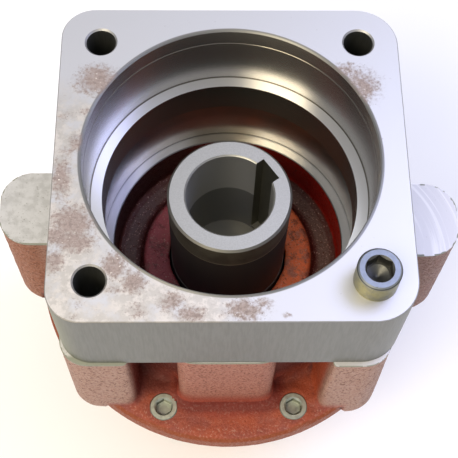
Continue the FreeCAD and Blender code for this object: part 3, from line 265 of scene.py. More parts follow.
def makeBlockSteel():
    look = blockLook
    material, tree, base, place = startMaterial("milledSteelBlock", Metallic=1.0)
    at = measure(tree, place)
    up = faceUp(tree, at)
    onTop = allOf(tree, up, window(tree, at.z, *look["topFace"]))
    inside = window(tree, at.radius, *look["bore"])
    ledge = allOf(tree, inside, up, window(tree, at.z, *look["ledgeLevel"]))
    deep = allOf(tree, inside, window(tree, at.z, *look["deepLevel"]))
    rim = allOf(tree, inside, window(tree, at.z, *look["rimEdge"]))
    ledgeCorner = allOf(tree, window(tree, at.z, *look["cornerLevel"]),
                        window(tree, at.radius, *look["cornerRadius"]))
    shadeLine = allOf(tree, inside, anyOf(tree, band(tree, at.z, *look["groove"]), ledgeCorner))
    # Milled faces: faint cloud on the top, soft upright streaks on the sides
    cloud = grain(tree, place, look["cloud"], detail=4.0, roughness=0.6)
    streak = grain(tree, place, look["streak"], detail=2.0, stretch=(1.0, 1.0, look["streakStretch"]))
    strips = anyOf(tree, area(tree, at, *look["leftStrip"]), area(tree, at, *look["frontStrip"]))
    handled = allOf(tree, strips, window(tree, cloud, 0.3, 0.55))
    fine = grain(tree, place, look["fine"], detail=4.0, roughness=0.7)
    mottle = grain(tree, place, look["mottle"], detail=5.0, roughness=0.7)
    creamy = allOf(tree, handled, window(tree, mottle, 0.45, 0.6))
    top = paint(tree, look["top"], (handled, look["topWarm"]), (creamy, look["cream"]))
    # Painted shade: the sides darken to a thin dark line along their top edge
    side = paint(tree, look["side"], (window(tree, streak, 0.3, 0.7), look["sideDark"]),
                 (area(tree, at, *look["greenCorner"]), look["sideGreen"]),
                 (window(tree, at.z, *look["edgeShadeLevel"]), look["edge"]))
    # Painted shade: the chamfer round the mouth of the bore is painted darker
    colour = paint(tree, side, (onTop, top), (inside, look["wall"]), (deep, look["deepWall"]),
                   (ledge, look["ledge"]), (shadeLine, look["lineShade"]), (rim, look["rim"]))
    # Rust: soft ellipses broken up by noise, with bare spots inside and specks round them
    coarse = grain(tree, place, look["crust"], detail=5.0, roughness=0.68, warp=0.5)
    density = stainDensity(tree, at.level)
    crust = combine(tree, combine(tree, coarse, fine, "ADD"), 1.0, "SUBTRACT")
    reached = combine(tree, density, combine(tree, crust, look["crustWeight"]), "ADD")
    patch = allOf(tree, window(tree, reached, 0.36, 0.95, out=(0.0, 0.95)), onTop)
    halo = allOf(tree, window(tree, reached, 0.1, 0.6, out=(0.0, 0.6)), density, onTop)
    spots = window(tree, grain(tree, place, look["spot"], detail=2.0), 0.66, 0.72)
    peppered = allOf(tree, handled, onTop, window(tree, fine, 0.6, 0.7, out=(0.0, 0.55)))
    dots = window(tree, grain(tree, place, look["dot"], detail=2.0), 0.66, 0.74)
    specks = allOf(tree, dots, window(tree, density, 0.02, 0.4), onTop)
    rust = paint(tree, look["rust"], (window(tree, fine, 0.45, 0.62), look["rustDark"]),
                 (spots, look["cream"]))
    colour = paint(tree, colour, (peppered, look["rust"]), (halo, look["rust"]), (patch, rust),
                   (specks, look["speck"]))
    # A stain no longer mirrors like metal
    bare = invert(tree, combine(tree, patch, look["rustDull"]))
    rough = settle(tree, look["sideRough"], (inside, look["wallRough"]), (ledge, look["ledgeRough"]),
                   (rim, look["rimRough"]), (onTop, look["topRough"]), (patch, look["rustRough"]))
    setShader(tree, base, Base_Color=colour, Metallic=bare, Roughness=rough)
    turnAnisotropy(tree, base, combine(tree, inside, look["wallAnisotropy"]))
    # Shallow relief: tool marks, then the crust of the stains
    turned = allOf(tree, turnedLines(tree, at, look["lines"]), inside)
    milled = allOf(tree, streak, invert(tree, inside), 0.2)
    under = bumpBy(tree, base, combine(tree, turned, milled, "ADD"), 0.02, 0.4)
    bumpBy(tree, base, allOf(tree, patch, fine), 0.06, 0.6, under)
    return material


# Red oxide primer sprayed over a sand casting: rough matt orange red on level faces, a painted pale
# pink sheen with dark sand specks on upright ones, and painted shade in deep red where the surface is
# hollow.
primerLook = {
    "red": "#84433A", "orange": "#9C4A32", "milled": "#8E9086", "rim": "#86401F", "sheen": "#9D7B6D",
    "padSheen": "#9C6656", "leftSheen": "#905B41", "rightSheen": "#86675F", "valleyShade": "#561B12",
    "deep": "#4A120B", "speck": "#5A3026", "pale": "#C09A8A", "rightInwardLit": "#A64A2A",
    "leftInwardShade": "#6A241A", "padFoot": "#8E3B2B", "padCorner": "#5E1C14",
    "sand": 1.1, "lump": 5.0, "cloud": 20.0,
    "outer": (70.0, 74.0), "ears": (94.0, 96.0), "overFlange": (-111.0, -104.0),
    "inward": (-12.0, -32.0), "inwardDepth": (88.0, 79.0), "inwardSide": (10.0, -10.0),
    "padWidth": (29.0, 24.0), "padRadius": (84.0, 80.0), "padFootLevel": (-96.0, -107.0),
    "padCornerShadowLevel": (-110.0, -107.4, 0.7), "padSheenRadius": (84.0, 78.0),
    "leftSheenPlace": (-80.0, -90.0), "rightSheenPlace": (76.0, 86.0),
    "valleyRadius": (77.0, 69.0), "valleyLevel": (-109.0, -98.0), "belowJoint": (-53.0, -58.0),
    "wornRing": (88.0, 91.0, 2.0), "rimRadius": (91.6, 92.6), "rimLevel": (-108.0, -110.0),
    "milledLevel": (-50.9, -50.4),
}


def makePrimer():
    look = primerLook
    material, tree, base, place = startMaterial("redOxidePrimer", Specular_IOR_Level=0.35)
    at = measure(tree, place)
    sand = grain(tree, place, look["sand"], detail=4.0, roughness=0.65)
    lump = grain(tree, place, look["lump"], detail=4.0, roughness=0.6)
    cloud = grain(tree, place, look["cloud"], detail=4.0)
    upright = window(tree, combine(tree, at.facing, 0.0, "MAXIMUM"), 0.6, 0.2)
    high = anyOf(tree, window(tree, at.radius, *look["ears"]), window(tree, at.z, *look["overFlange"]))
    outer = allOf(tree, window(tree, at.radius, *look["outer"]), high)
    # Faces of the lugs that look at the pads get no painted sheen, but painted light and shade: lit
    # orange on the right lug, dark red shade on the left one
    inward = allOf(tree, window(tree, combine(tree, at.across, at.x), *look["inward"]),
                   window(tree, at.radius, *look["inwardDepth"]))
    # Painted sheen: upright outer faces of lugs, ears and pads turn pale pink, redder on the pads,
    # orange on the left ear's end under the warm light and mauve on the right one under the cool light
    uprightSheen = allOf(tree, upright, outer, window(tree, lump, 0.15, 0.6, out=(0.8, 1.0)),
                  invert(tree, inward))
    inwardTone = paint(tree, look["rightInwardLit"],
                       (window(tree, at.x, *look["inwardSide"]), look["leftInwardShade"]))
    sheenTone = paint(tree, look["sheen"],
                     (window(tree, at.radius, *look["padSheenRadius"]), look["padSheen"]),
                     (window(tree, at.x, *look["leftSheenPlace"]), look["leftSheen"]),
                     (window(tree, at.x, *look["rightSheenPlace"]), look["rightSheen"]))
    # The painted sheen gives way to a darker red towards the foot of the pads, and a painted shadow
    # darkens the corner below
    onPad = allOf(tree, window(tree, absolute(tree, at.x), *look["padWidth"]),
                  window(tree, at.radius, *look["padRadius"]))
    padFoot = allOf(tree, onPad, window(tree, at.z, *look["padFootLevel"], out=(0.0, 0.85)))
    corner = allOf(tree, onPad, band(tree, at.z, *look["padCornerShadowLevel"]), 0.75)
    # Painted shade on the barrel between lugs and pads, in the hollow under the block
    valleyShade = allOf(tree, window(tree, at.radius, *look["valleyRadius"]),
                   window(tree, at.z, *look["valleyLevel"], out=(0.35, 0.85)))
    specks = allOf(tree, window(tree, sand, 0.52, 0.62), window(tree, lump, 0.3, 0.6, out=(0.4, 1.0)),
                   window(tree, uprightSheen, 0.0, 1.0, out=(0.3, 0.85)), invert(tree, padFoot))
    # Pointiness is above a half on outer edges, painted orange as highlight, and below it where the
    # surface is hollow, painted deep red as shade
    bend = addNode(tree, "NewGeometry").outputs["Pointiness"]
    edgeHighlight = allOf(tree, window(tree, bend, 0.505, 0.53, out=(0.0, 0.7)),
                  window(tree, at.z, *look["belowJoint"]))
    hollowShade = window(tree, bend, 0.495, 0.455, out=(0.0, 0.8))
    # Painted shade: the outer face of the flange's rim is painted a darker orange brown
    rim = allOf(tree, window(tree, at.radius, *look["rimRadius"]),
                window(tree, at.z, *look["rimLevel"]))
    wornRing = allOf(tree, band(tree, at.radius, *look["wornRing"]), window(tree, at.facing, 0.4, 0.8))
    worn = allOf(tree, window(tree, sand, 0.45, 0.36),
                 window(tree, wornRing, 0.0, 1.0, out=(0.12, 0.35)))
    colour = paint(tree, look["red"], (window(tree, cloud, 0.4, 0.65), look["orange"]),
                   (edgeHighlight, look["orange"]), (rim, look["rim"]), (valleyShade, look["valleyShade"]),
                   (combine(tree, inward, 0.8), inwardTone), (uprightSheen, sheenTone),
                   (padFoot, look["padFoot"]), (corner, look["padCorner"]), (specks, look["speck"]),
                   (worn, look["pale"]), (hollowShade, look["deep"]),
                   (window(tree, at.z, *look["milledLevel"]), look["milled"]))
    rough = window(tree, sand, 0.3, 0.7, out=(0.45, 0.75))
    setShader(tree, base, Base_Color=colour, Roughness=rough)
    under = bumpBy(tree, base, sand, 0.6, 0.9)
    bumpBy(tree, base, lump, 0.8, 0.5, under)
    return material


# The same primer inside the bearing cavity, wet with oil: red on the wall, painted nearly black red on
# the left as shade, a dusted band on the floor and a brighter rough ring on the hub, also painted
# darker on its left as shade.
cavityLook = {
    "wall": "#9C1509", "wallLeftShade": "#330E0C", "floor": "#52201A", "band": "#6A4C46", "hub": "#F0764A",
    "hubLeftShade": "#B4545A", "hubWorn": "#9A6660", "hubDark": "#5A2A20", "step": "#4A100B",
    "glint": "#D8A8A0",
    "lump": 2.2, "sand": 0.8, "cloud": 9.0, "soot": 5.0,
    "leftShadeSide": (12.0, -22.0), "hubRadius": (42.6, 41.4), "dustRadius": (47.0, 51.5, 1.4),
    "footShadeRadius": (42.8, 44.6, 1.0),
}


def makeCavityPrimer():
    look = cavityLook
    material, tree, base, place = startMaterial("oiledPrimer", Specular_IOR_Level=0.5)
    at = measure(tree, place)
    lump = grain(tree, place, look["lump"], detail=4.0, roughness=0.7)
    sand = grain(tree, place, look["sand"], detail=2.0)
    cloud = grain(tree, place, look["cloud"], detail=4.0, roughness=0.65)
    low = window(tree, at.facing, 0.3, 0.8)
    # Painted shade: the wall and the hub are darker on the left
    shadedLeft = window(tree, at.x, *look["leftShadeSide"])
    hub = window(tree, at.radius, *look["hubRadius"])
    worn = allOf(tree, hub, window(tree, cloud, 0.5, 0.64, out=(0.0, 0.7)))
    sootGrain = grain(tree, place, look["soot"], detail=5.0, roughness=0.7)
    soot = allOf(tree, hub, window(tree, sootGrain, 0.54, 0.64, out=(0.0, 0.65)))
    dusted = allOf(tree, low, band(tree, at.radius, *look["dustRadius"]),
                   window(tree, lump, 0.3, 0.5, out=(0.4, 1.0)))
    pits = window(tree, lump, 0.42, 0.3, out=(0.0, 0.75))
    # Painted glints: pale specks on up-facing faces
    glints = allOf(tree, window(tree, sand, 0.62, 0.7, out=(0.0, 0.8)), low)
    hubTone = paint(tree, look["hub"], (shadedLeft, look["hubLeftShade"]))
    # Painted shade: a dark ring in the groove at the hub's foot, in the same colour as the pits
    colour = paint(tree, look["wall"], (shadedLeft, look["wallLeftShade"]), (low, look["floor"]),
                   (dusted, look["band"]), (band(tree, at.radius, *look["footShadeRadius"]), look["step"]),
                   (hub, hubTone), (worn, look["hubWorn"]), (soot, look["hubDark"]),
                   (pits, look["step"]), (glints, look["glint"]))
    rough = window(tree, lump, 0.3, 0.7, out=(0.25, 0.5))
    setShader(tree, base, Base_Color=colour, Roughness=rough)
    under = bumpBy(tree, base, lump, 1.2, 0.8)
    bumpBy(tree, base, sand, 0.2, 0.5, under)
    return material


# Face milled grey iron, open to the air: a dull light grey with pores, on the right the arcs that
# the cutter left, and greener on the narrow strip of the front left lug.
ironLook = {
    "plain": "#D0CFD1", "cloudy": "#BFBEBF", "right": "#CECCCE", "arc": "#DEDCDC", "strip": "#93968C",
    "pore": "#77736A",
    "cutterX": 48.0, "cutterY": -22.0, "arcWidth": 2.2, "arcDrift": 0.03, "cloud": 4.0, "poreSize": 0.8,
    "rightSide": (0.0, 20.0), "poreSide": (20.0, -20.0),
    "frontStrip": ((-10.0, -30.0), (-70.0, -72.0)),
}


def makeMilledIron():
    look = ironLook
    material, tree, base, place = startMaterial("faceMilledIron", Metallic=0.55, Roughness=0.5)
    at = measure(tree, place)
    away = length(tree, vector(tree, "ADD", at.level, (-look["cutterX"], -look["cutterY"], 0.0)))
    sweep = addNode(tree, "CombineXYZ", {0: away, 1: combine(tree, at.y, look["arcDrift"])}).outputs[0]
    marks = grain(tree, sweep, look["arcWidth"], detail=2.0)
    right = window(tree, at.x, *look["rightSide"])
    cloud = grain(tree, place, look["cloud"], detail=4.0)
    pores = allOf(tree, window(tree, grain(tree, place, look["poreSize"], detail=2.0), 0.66, 0.72),
                  window(tree, at.x, *look["poreSide"], out=(0.15, 0.7)))
    arcs = allOf(tree, right, window(tree, marks, 0.5, 0.66))
    colour = paint(tree, look["plain"], (window(tree, cloud, 0.4, 0.65), look["cloudy"]),
                   (right, look["right"]), (arcs, look["arc"]),
                   (area(tree, at, *look["frontStrip"]), look["strip"]), (pores, look["pore"]))
    setShader(tree, base, Base_Color=colour)
    bumpBy(tree, base, allOf(tree, marks, right), 0.08, 0.5)
    return material


# Ground steel shaft: even light grey on its end, brown grey on the land with a painted highlight along
# its lower edge, black brown painted shade below it, smooth dark grey in the bore with a painted shadow
# over its lower half, black in the keyway.
shaftLook = {
    "bore": "#DEDEDC", "boreShadow": "#9A9A98", "keyway": "#84837A", "land": "#8E8878",
    "landDark": "#7C766A", "oil": "#3A322F", "rim": "#DAD2B6", "floor": "#7A7872", "top": "#B8B8B6",
    "topDark": "#A3A3A0",
    "topLevel": (-40.0, -38.0), "outer": (24.0, 26.0), "oilLevel": (-51.3, -51.7),
    "rimLevel": (-51.5, -51.2, 0.15), "floorLevel": (-80.0, -90.0), "boreShadowLevel": (-67.5, -68.5),
    "keywayRadius": (20.1, 20.4), "even": 0.6, "cloud": 9.0, "lines": 0.35,
    "boreRough": 0.35, "landRough": 0.42, "oilRough": 0.5, "floorRough": 0.55, "topRough": 0.5,
    "oilMetal": 0.15, "anisotropy": 0.6,
}


def makeShaftSteel():
    look = shaftLook
    material, tree, base, place = startMaterial("groundShaftSteel")
    at = measure(tree, place)
    up = faceUp(tree, at)
    top = allOf(tree, up, window(tree, at.z, *look["topLevel"]))
    floor = allOf(tree, up, window(tree, at.z, *look["floorLevel"]))
    outer = window(tree, at.radius, *look["outer"])
    # Painted shade: the side below the land is near black brown
    oiled = allOf(tree, outer, window(tree, at.z, *look["oilLevel"]))
    # Painted highlight: a pale line along the lower edge of the land
    rim = allOf(tree, outer, band(tree, at.z, *look["rimLevel"]))
    keyed = allOf(tree, window(tree, at.radius, *look["keywayRadius"]), invert(tree, outer))
    even = grain(tree, place, look["even"], detail=2.0)
    cloud = grain(tree, place, look["cloud"], detail=3.0)
    clouded = allOf(tree, outer, window(tree, cloud, 0.4, 0.65))
    topShade = allOf(tree, top, window(tree, even, 0.35, 0.7, out=(0.0, 0.5)))
    # Painted shadow: the bore is darker below the edge of the shadow that the top rim casts
    colour = paint(tree, look["bore"], (window(tree, at.z, *look["boreShadowLevel"]), look["boreShadow"]),
                   (keyed, look["keyway"]), (outer, look["land"]), (clouded, look["landDark"]),
                   (oiled, look["oil"]), (rim, look["rim"]), (floor, look["floor"]), (top, look["top"]),
                   (topShade, look["topDark"]))
    # The painted shade below the land is also far less metallic
    metal = settle(tree, 1.0, (oiled, look["oilMetal"]), (rim, 1.0))
    rough = settle(tree, look["boreRough"], (outer, look["landRough"]), (oiled, look["oilRough"]),
                   (floor, look["floorRough"]), (top, look["topRough"]))
    setShader(tree, base, Base_Color=colour, Metallic=metal, Roughness=rough)
    turnAnisotropy(tree, base, combine(tree, invert(tree, top), look["anisotropy"]))
    bumpBy(tree, base, turnedLines(tree, at, look["lines"]), 0.02, 0.3)
    return material


# Bare turned or ground metal: grey, with fine rings round its axis and faint oil tints. The ledge at
# the foot of a bore is brighter, with a dark line of painted shade where it meets the wall, and painted
# shade over it on the left and at the back.
# The upper wall is painted darker and greener than the lower.
turnedLook = {
    "seam": "#3E3A34", "foot": "#4A4640", "oilLeft": "#98989E", "oilBack": "#9A958D",
    "cloud": 14.0, "tint": 9.0, "seamEnds": (0.9, 0.3), "footShadeLevel": (-84.1, -84.6),
    "upperWallLevel": (-76.0, -64.0), "leftPlace": (-42.0, -52.0), "backAcross": (-12.0, 6.0, 14.0),
    "backAlong": (30.0, 40.0), "ledgeRough": 0.34, "anisotropy": 0.7,
}


def makeTurnedSteel(name, light, dark, roughness, ringSize, warm=None, ledge=None, upperWallColour=None,
                    seams=None):
    # The upper wall colour is painted over the wall from a given height up, and the seams are the
    # heights of dark end edges
    look = turnedLook
    material, tree, base, place = startMaterial(name, Metallic=1.0)
    at = measure(tree, place)
    cloud = grain(tree, place, look["cloud"], detail=4.0)
    colour = paint(tree, light, (window(tree, cloud, 0.3, 0.7), dark))
    rough = window(tree, cloud, 0.2, 0.8, out=(roughness - 0.03, roughness + 0.05))
    if warm:
        tint = grain(tree, place, look["tint"], detail=4.0, roughness=0.7)
        colour = paint(tree, colour, (window(tree, tint, 0.56, 0.72, out=(0.0, 0.6)), warm))
    # The upper wall is painted darker and greener than its lower part
    if upperWallColour:
        colour = paint(tree, colour, (window(tree, at.z, *look["upperWallLevel"]), upperWallColour))
    if seams:
        far, near = look["seamEnds"]
        colour = paint(tree, colour,
                       (window(tree, at.z, seams[0] + far, seams[0] + near), look["seam"]),
                       (window(tree, at.z, seams[1] - far, seams[1] - near), look["seam"]))
    if ledge:
        # Painted shade: a dark line at the foot of the wall, and the ledge darker on the left and at
        # the back
        up = faceUp(tree, at)
        shadedLeft = allOf(tree, up, window(tree, at.x, *look["leftPlace"]))
        shadedBack = allOf(tree, up, band(tree, at.x, *look["backAcross"]),
                     window(tree, at.y, *look["backAlong"]))
        foot = window(tree, at.z, *look["footShadeLevel"], out=(0.0, 0.85))
        colour = paint(tree, colour, (foot, look["foot"]), (up, ledge), (shadedLeft, look["oilLeft"]),
                       (shadedBack, look["oilBack"]))
        rough = settle(tree, rough, (up, look["ledgeRough"]))
    setShader(tree, base, Base_Color=colour, Roughness=rough)
    turnAnisotropy(tree, base, look["anisotropy"])
    bumpBy(tree, base, turnedLines(tree, at, ringSize), 0.02, 0.35)
    return material


# Passivated zinc, black oxide or bare aluminium over a forged part: satin, with drifting tints and
# dark pits.
platingLook = {"cloud": 6.0, "pit": 1.2, "wear": 1.6, "bump": 0.7}


def makePlating(name, light, dark, tint, roughness, pit="#4A4A40", socket=None, edge=None):
    # The socket is (x, y, radius, colour), on the right and mirrored on the left, and the edge round it
    # is (inner radius, outer radius, colour). In the screw the socket is painted dark as shade and in
    # the plugs pale as lit, and the edge is a ring of painted shade over the chamfer.
    look = platingLook
    material, tree, base, place = startMaterial(name, Metallic=1.0)
    at = measure(tree, place)
    cloud = grain(tree, place, look["cloud"], detail=3.0, warp=0.4)
    pitGrain = grain(tree, place, look["pit"], detail=3.0, roughness=0.7)
    # Up-facing faces take the tint as painted light from above, pale on the plugs
    colour = paint(tree, light, (window(tree, cloud, 0.35, 0.65), dark),
                   (window(tree, at.facing, 0.4, 0.9), tint),
                   (window(tree, pitGrain, 0.64, 0.72, out=(0.0, 0.7)), pit))
    if socket:
        centreX, centreY, reach, shade = socket
        inner, outer, edgeShade = edge
        folded = addNode(tree, "CombineXYZ", {0: absolute(tree, at.x), 1: at.y}).outputs[0]
        away = length(tree, vector(tree, "SUBTRACT", folded, (centreX, centreY, 0.0)))
        ring = allOf(tree, window(tree, away, inner - 0.1, inner + 0.1),
                     window(tree, away, outer + 0.1, outer - 0.1))
        colour = paint(tree, colour, (window(tree, away, reach, reach - 0.2), shade), (ring, edgeShade))
    wear = grain(tree, place, look["wear"])
    rough = window(tree, wear, 0.2, 0.8, out=(roughness - 0.05, roughness + 0.12))
    setShader(tree, base, Base_Color=colour, Roughness=rough)
    bumpBy(tree, base, grain(tree, place, look["bump"], detail=2.0), 0.05, 0.4)
    return material


# Moulded nitrile: nearly black and matt with a soft sheen.
rubberLook = {"dark": "#15161A", "light": "#26272B", "cloud": 2.5, "pimples": 0.5}


def makeRubber():
    look = rubberLook
    material, tree, base, place = startMaterial("mouldedNitrile", Roughness=0.55)
    colour = paint(tree, look["dark"], (grain(tree, place, look["cloud"]), look["light"]))
    setShader(tree, base, Base_Color=colour)
    bumpBy(tree, base, grain(tree, place, look["pimples"]), 0.04, 0.4)
    return material


print("materials")
blockSteel = makeBlockSteel()
primer = makePrimer()
cavityPrimer = makeCavityPrimer()
milledIron = makeMilledIron()
shaftSteel = makeShaftSteel()
plateTint = "#8A7A66"
plateSteel = makeTurnedSteel("groundPlateSteel", "#A9A9A4", "#9C9C97", 0.34, 0.5, warm=plateTint)
boreIron = makeTurnedSteel("turnedCastIron", "#C4BDB3", "#B6AFA5", 0.2, 0.35, ledge="#D4D4D6",
                           upperWallColour="#7A837E")
gearSteel = makeTurnedSteel("hardenedGearSteel", "#8F8F8C", "#73736F", 0.3, 0.6)
bearingSteel = makeTurnedSteel("polishedBearingSteel", "#C9C9C8", "#B6B6B4", 0.14, 0.3)
screwPlating = makePlating("yellowZincScrew", "#8E8A66", "#7A7866", "#8C93A1", 0.42,
                           socket=(56.57, -56.57, 5.9, "#5C5C5A"), edge=(8.55, 8.9, "#55554E"))
plugPlating = makePlating("greenZincPlug", "#565A4F", "#4C5046", "#CBD0C4", 0.42, "#6A6A58",
                          socket=(31.09, -76.96, 2.0, "#C0C4B8"), edge=(6.35, 7.4, "#7E8478"))
boltSteel = makePlating("blackOxideBolt", "#2B2D31", "#3A3A3A", "#33363B", 0.38)
washerMetal = makePlating("softAluminiumWasher", "#C6C7C8", "#B2B3B5", "#C6C7C8", 0.35)
rubber = makeRubber()

dress = {
    "mounting_block": blockSteel, "flange_screw": screwPlating, "output_shaft": shaftSteel,
    "plug_left": plugPlating, "plug_right": plugPlating, "drain_plug": plugPlating,
    "drain_washer": washerMetal, "cover_bolts": boltSteel, "end_cover": primer, "housing": primer,
}
for name in ("dowel_pins", "bearing_shim"):
    dress[name] = plateSteel
# The plates of the stack differ a little, and oil has darkened the edges where they meet
for name, steel, light, dark in (("spacer_plate", "groundSpacerSteel", "#A3A39D", "#98978F"),
                                 ("stator_ring", "turnedStatorSteel", "#8B8C8B", "#7F807E"),
                                 ("channel_plate", "groundChannelSteel", "#ABAAA4", "#9F9E97")):
    heights = [corner.co.z / mm for corner in nodes[name].data.vertices]
    dress[name] = makeTurnedSteel(steel, light, dark, 0.36, 0.6, warm=plateTint,
                                  seams=(min(heights), max(heights)))
for name in ("rotor", "cardan_shaft", "valve_drive", "valve_disc", "balance_plate", "disc_spring",
             "drive_spacer", "seal_spring"):
    dress[name] = gearSteel
for name in nodes:
    if name.startswith(("front_", "rear_")) and not name.endswith("seal") or name.startswith("roller_"):
        dress[name] = bearingSteel
    elif name.endswith("_seal"):
        dress[name] = rubber
for name, node in nodes.items():
    node.data.materials.clear()
    node.data.materials.append(dress[name])


# Cast housing. Its rough forms are joined, remeshed and smoothed, which gives the soft fillets of a
# casting, and then levelled where it was machined.
housing = {
    # Heights, from the machined top, over which the rough forms stand by raw, down to the tail
    "joint": -50.0, "raw": 9.0, "ledge": -85.2, "hub": -101.0, "floor": -106.0, "baseTop": -110.5,
    "base": -122.0, "tail": -161.0,
    # Radii of the turned forms and their small steps
    "bore": 60.3, "cavity": 55.6, "barrel": 67.0, "flange": 93.6, "tailRadius": 65.0,
    "hubRadius": 42.5, "hubBore": 28.8, "hubEdge": 2.0, "hubSlope": 1.0, "sealSeat": 36.0,
    "sealDepth": 4.0, "bearing": 42.5, "bearingDepth": 14.0, "rimLower": 1.5, "rimUpper": 4.0,
    "rimSwell": 0.9, "flangeInner": 12.0, "foot": 4.0, "groove": 2.5, "boreSpare": 1.0,
    "tailSpare": 4.0, "swell": 0.35,
    # Each lug has its side, front or back, reach along x and y, lower end, the radius of its lower
    # edge, and how much it widens downwards
    "lugInner": 44.4, "lugCorner": 12.5, "lugInnerCorner": 2.8,
    "lugs": ((-1, -1, 74.3, 75.3, -120.8, 10.0, 0.6), (1, -1, 70.4, 75.9, -123.0, 7.0, 1.7),
             (-1, 1, 74.3, 75.2, -119.0, 10.0, 0.6), (1, 1, 71.4, 75.2, -119.0, 10.0, 0.6)),
    # Ears and pads start at the root, inside the barrel; pads and bosses end inside the flange, and
    # a boss begins at its core, because points on its axis would fall together
    "root": 63.0, "rooted": 2.0, "core": 0.01,
    "earReach": 105.0, "earHalf": 18.0, "earCorner": 15.0, "earBottom": -121.8, "earRound": 6.0,
    "rightEarShift": 5.9,
    "padHalf": 22.5, "padReach": 74.3, "padCorner": 6.0, "padShift": 1.5,
    "plugCircle": 83.0, "plugAngle": 22.0, "bossRadius": 10.5, "bossTop": -108.9, "plugHole": 6.2,
    "plugDepth": 4.0, "drainLevel": -136.0, "drainFace": 64.0, "drainSeat": 10.3,
    # Rounding leaves the seats under the hub alone, and corners outside crispRadius stay crisper
    "voxel": 1.15, "smoothing": 0.7, "smoothings": 10, "seatRadius": 50.0, "seatLevel": -109.0,
    "crispRadius": 84.0, "crispLevel": -102.5, "crispWeight": 0.4,
    # Fillets stay clear of the bore and the base, and reach further out in the valleys low down
    "fillets": 46, "boreClear": 3.0, "baseClear": 4.0, "filletReach": 84.0, "filletFade": 8.0,
    "valleyLevel": -96.5, "valleyFade": 5.0, "valleyReach": 7.0,
    # Sand texture, and how far it stays away from the joint and the tail
    "roughness": 0.3, "roughSize": 3.4, "sandInner": 56.0, "sandTop": 2.0, "sandTail": 4.0,
    # Machining: how far past the rim points are pulled in, and which faces count as milled
    "rimBand": 2.0, "merge": 0.25, "milledDepth": 0.01, "milledFacing": 0.9, "cavityEdge": 2.0,
    "sharpAngle": 50.0,
}


def newMesh(name, vertices, faces):
    mesh = bpy.data.meshes.new(name)
    mesh.from_pydata([Vector(v) * mm for v in vertices], [], faces)
    mesh.update()
    made = bpy.data.objects.new(name, mesh)
    bpy.context.scene.collection.objects.link(made)
    return made


def lathe(profile, centre=(0.0, 0.0), steps=128, closed=True):
    # Turns (radius, height) corners about an upright line; returns vertices and faces
    vertices, faces = [], []
    count = len(profile)
    for step in range(steps):
        angle = 2 * math.pi * step / steps
        alongX, alongY = math.cos(angle), math.sin(angle)
        for radius, height in profile:
            vertices.append((centre[0] + radius * alongX, centre[1] + radius * alongY, height))
    for step in range(steps):
        after = (step + 1) % steps
        for i in range(count if closed else count - 1):
            j = (i + 1) % count
            faces.append((step * count + i, after * count + i, after * count + j, step * count + j))
    return vertices, faces


def slab(centreX, centreY, halfX, halfY, corners, top, bottom, edge=0.0, flare=0.0, foot=None):
    # An upright block whose corners have four radii, from the back right one round to the left, with
    # a round lower edge where edge isn't 0, wider at its lower end by the flare, and with a hollow
    # foot of (radius, level it stands on)
    rings = [(flare, top)]
    turns = [math.radians(15 * i) for i in range(7)]
    if foot:
        rings += [(-foot[0] * (1 - math.cos(a)), foot[1] + foot[0] * (1 - math.sin(a))) for a in turns]
    if edge:
        rings += [(edge * (1 - math.cos(a)), bottom + edge * (1 - math.sin(a))) for a in turns]
    else:
        rings.append((rings[-1][0], bottom))
    vertices, faces = [], []
    steps, tightest = 9, 0.6
    ring = 4 * steps
    for inset, height in rings:
        for quarter in range(4):
            bend = max(corners[quarter] - inset, tightest)
            signX = 1 if quarter in (0, 3) else -1
            signY = 1 if quarter in (0, 1) else -1
            for i in range(steps):
                angle = math.radians(90 * quarter + 90 * i / (steps - 1))
                x = centreX + signX * (halfX - inset - bend) + bend * math.cos(angle)
                y = centreY + signY * (halfY - inset - bend) + bend * math.sin(angle)
                vertices.append((x, y, height))
    for layer in range(len(rings) - 1):
        for i in range(ring):
            j = (i + 1) % ring
            a, b = layer * ring, (layer + 1) * ring
            faces.append((a + i, b + i, b + j, a + j))
    faces.append(tuple(range(ring)))
    faces.append(tuple(reversed(range((len(rings) - 1) * ring, len(rings) * ring))))
    return vertices, faces


def arc(centreR, centreZ, radius, start, stop, steps=6):
    # Corners of a round profile, from one angle to the other in degrees
    turns = [math.radians(start + (stop - start) * i / steps) for i in range(steps + 1)]
    return [(centreR + radius * math.cos(a), centreZ + radius * math.sin(a)) for a in turns]


def plugSpots(h):
    turns = [math.radians(-90 + side * h["plugAngle"]) for side in (-1, 1)]
    return [(h["plugCircle"] * math.cos(a), h["plugCircle"] * math.sin(a)) for a in turns]


def turnedForm(h, top):
    # Down the bore, the cavity and the seats under the hub, then up the tail, the flange and the barrel
    inner, step, hub = h["bore"] + h["boreSpare"], h["ledge"] - h["boreSpare"], h["hub"]
    seal, bearing, end = hub - h["sealDepth"], hub - h["bearingDepth"], h["tail"] - h["tailSpare"]
    rim, foot = h["flange"] + h["rimSwell"], h["foot"]
    return lathe([
        (inner, top), (inner, step), (h["cavity"], step), (h["cavity"], h["floor"]),
        (h["hubRadius"] + h["hubSlope"], h["floor"]), (h["hubRadius"], hub - h["hubEdge"]),
        (h["hubRadius"] - h["hubEdge"], hub), (h["hubBore"], hub), (h["hubBore"], seal),
        (h["sealSeat"], seal), (h["sealSeat"], bearing), (h["bearing"], bearing), (h["bearing"], end),
        (h["tailRadius"], end), (h["tailRadius"], h["base"]),
        *arc(rim - h["rimLower"], h["base"] + h["rimLower"], h["rimLower"], 270, 360, 4),
        *arc(rim - h["rimUpper"], h["baseTop"] - h["rimUpper"], h["rimUpper"], 0, 80),
        (h["barrel"] + h["flangeInner"], h["baseTop"]),
        *arc(h["barrel"] + foot, h["baseTop"] - h["groove"] + foot, foot, 270, 180),
        (h["barrel"], top),
    ], steps=256)


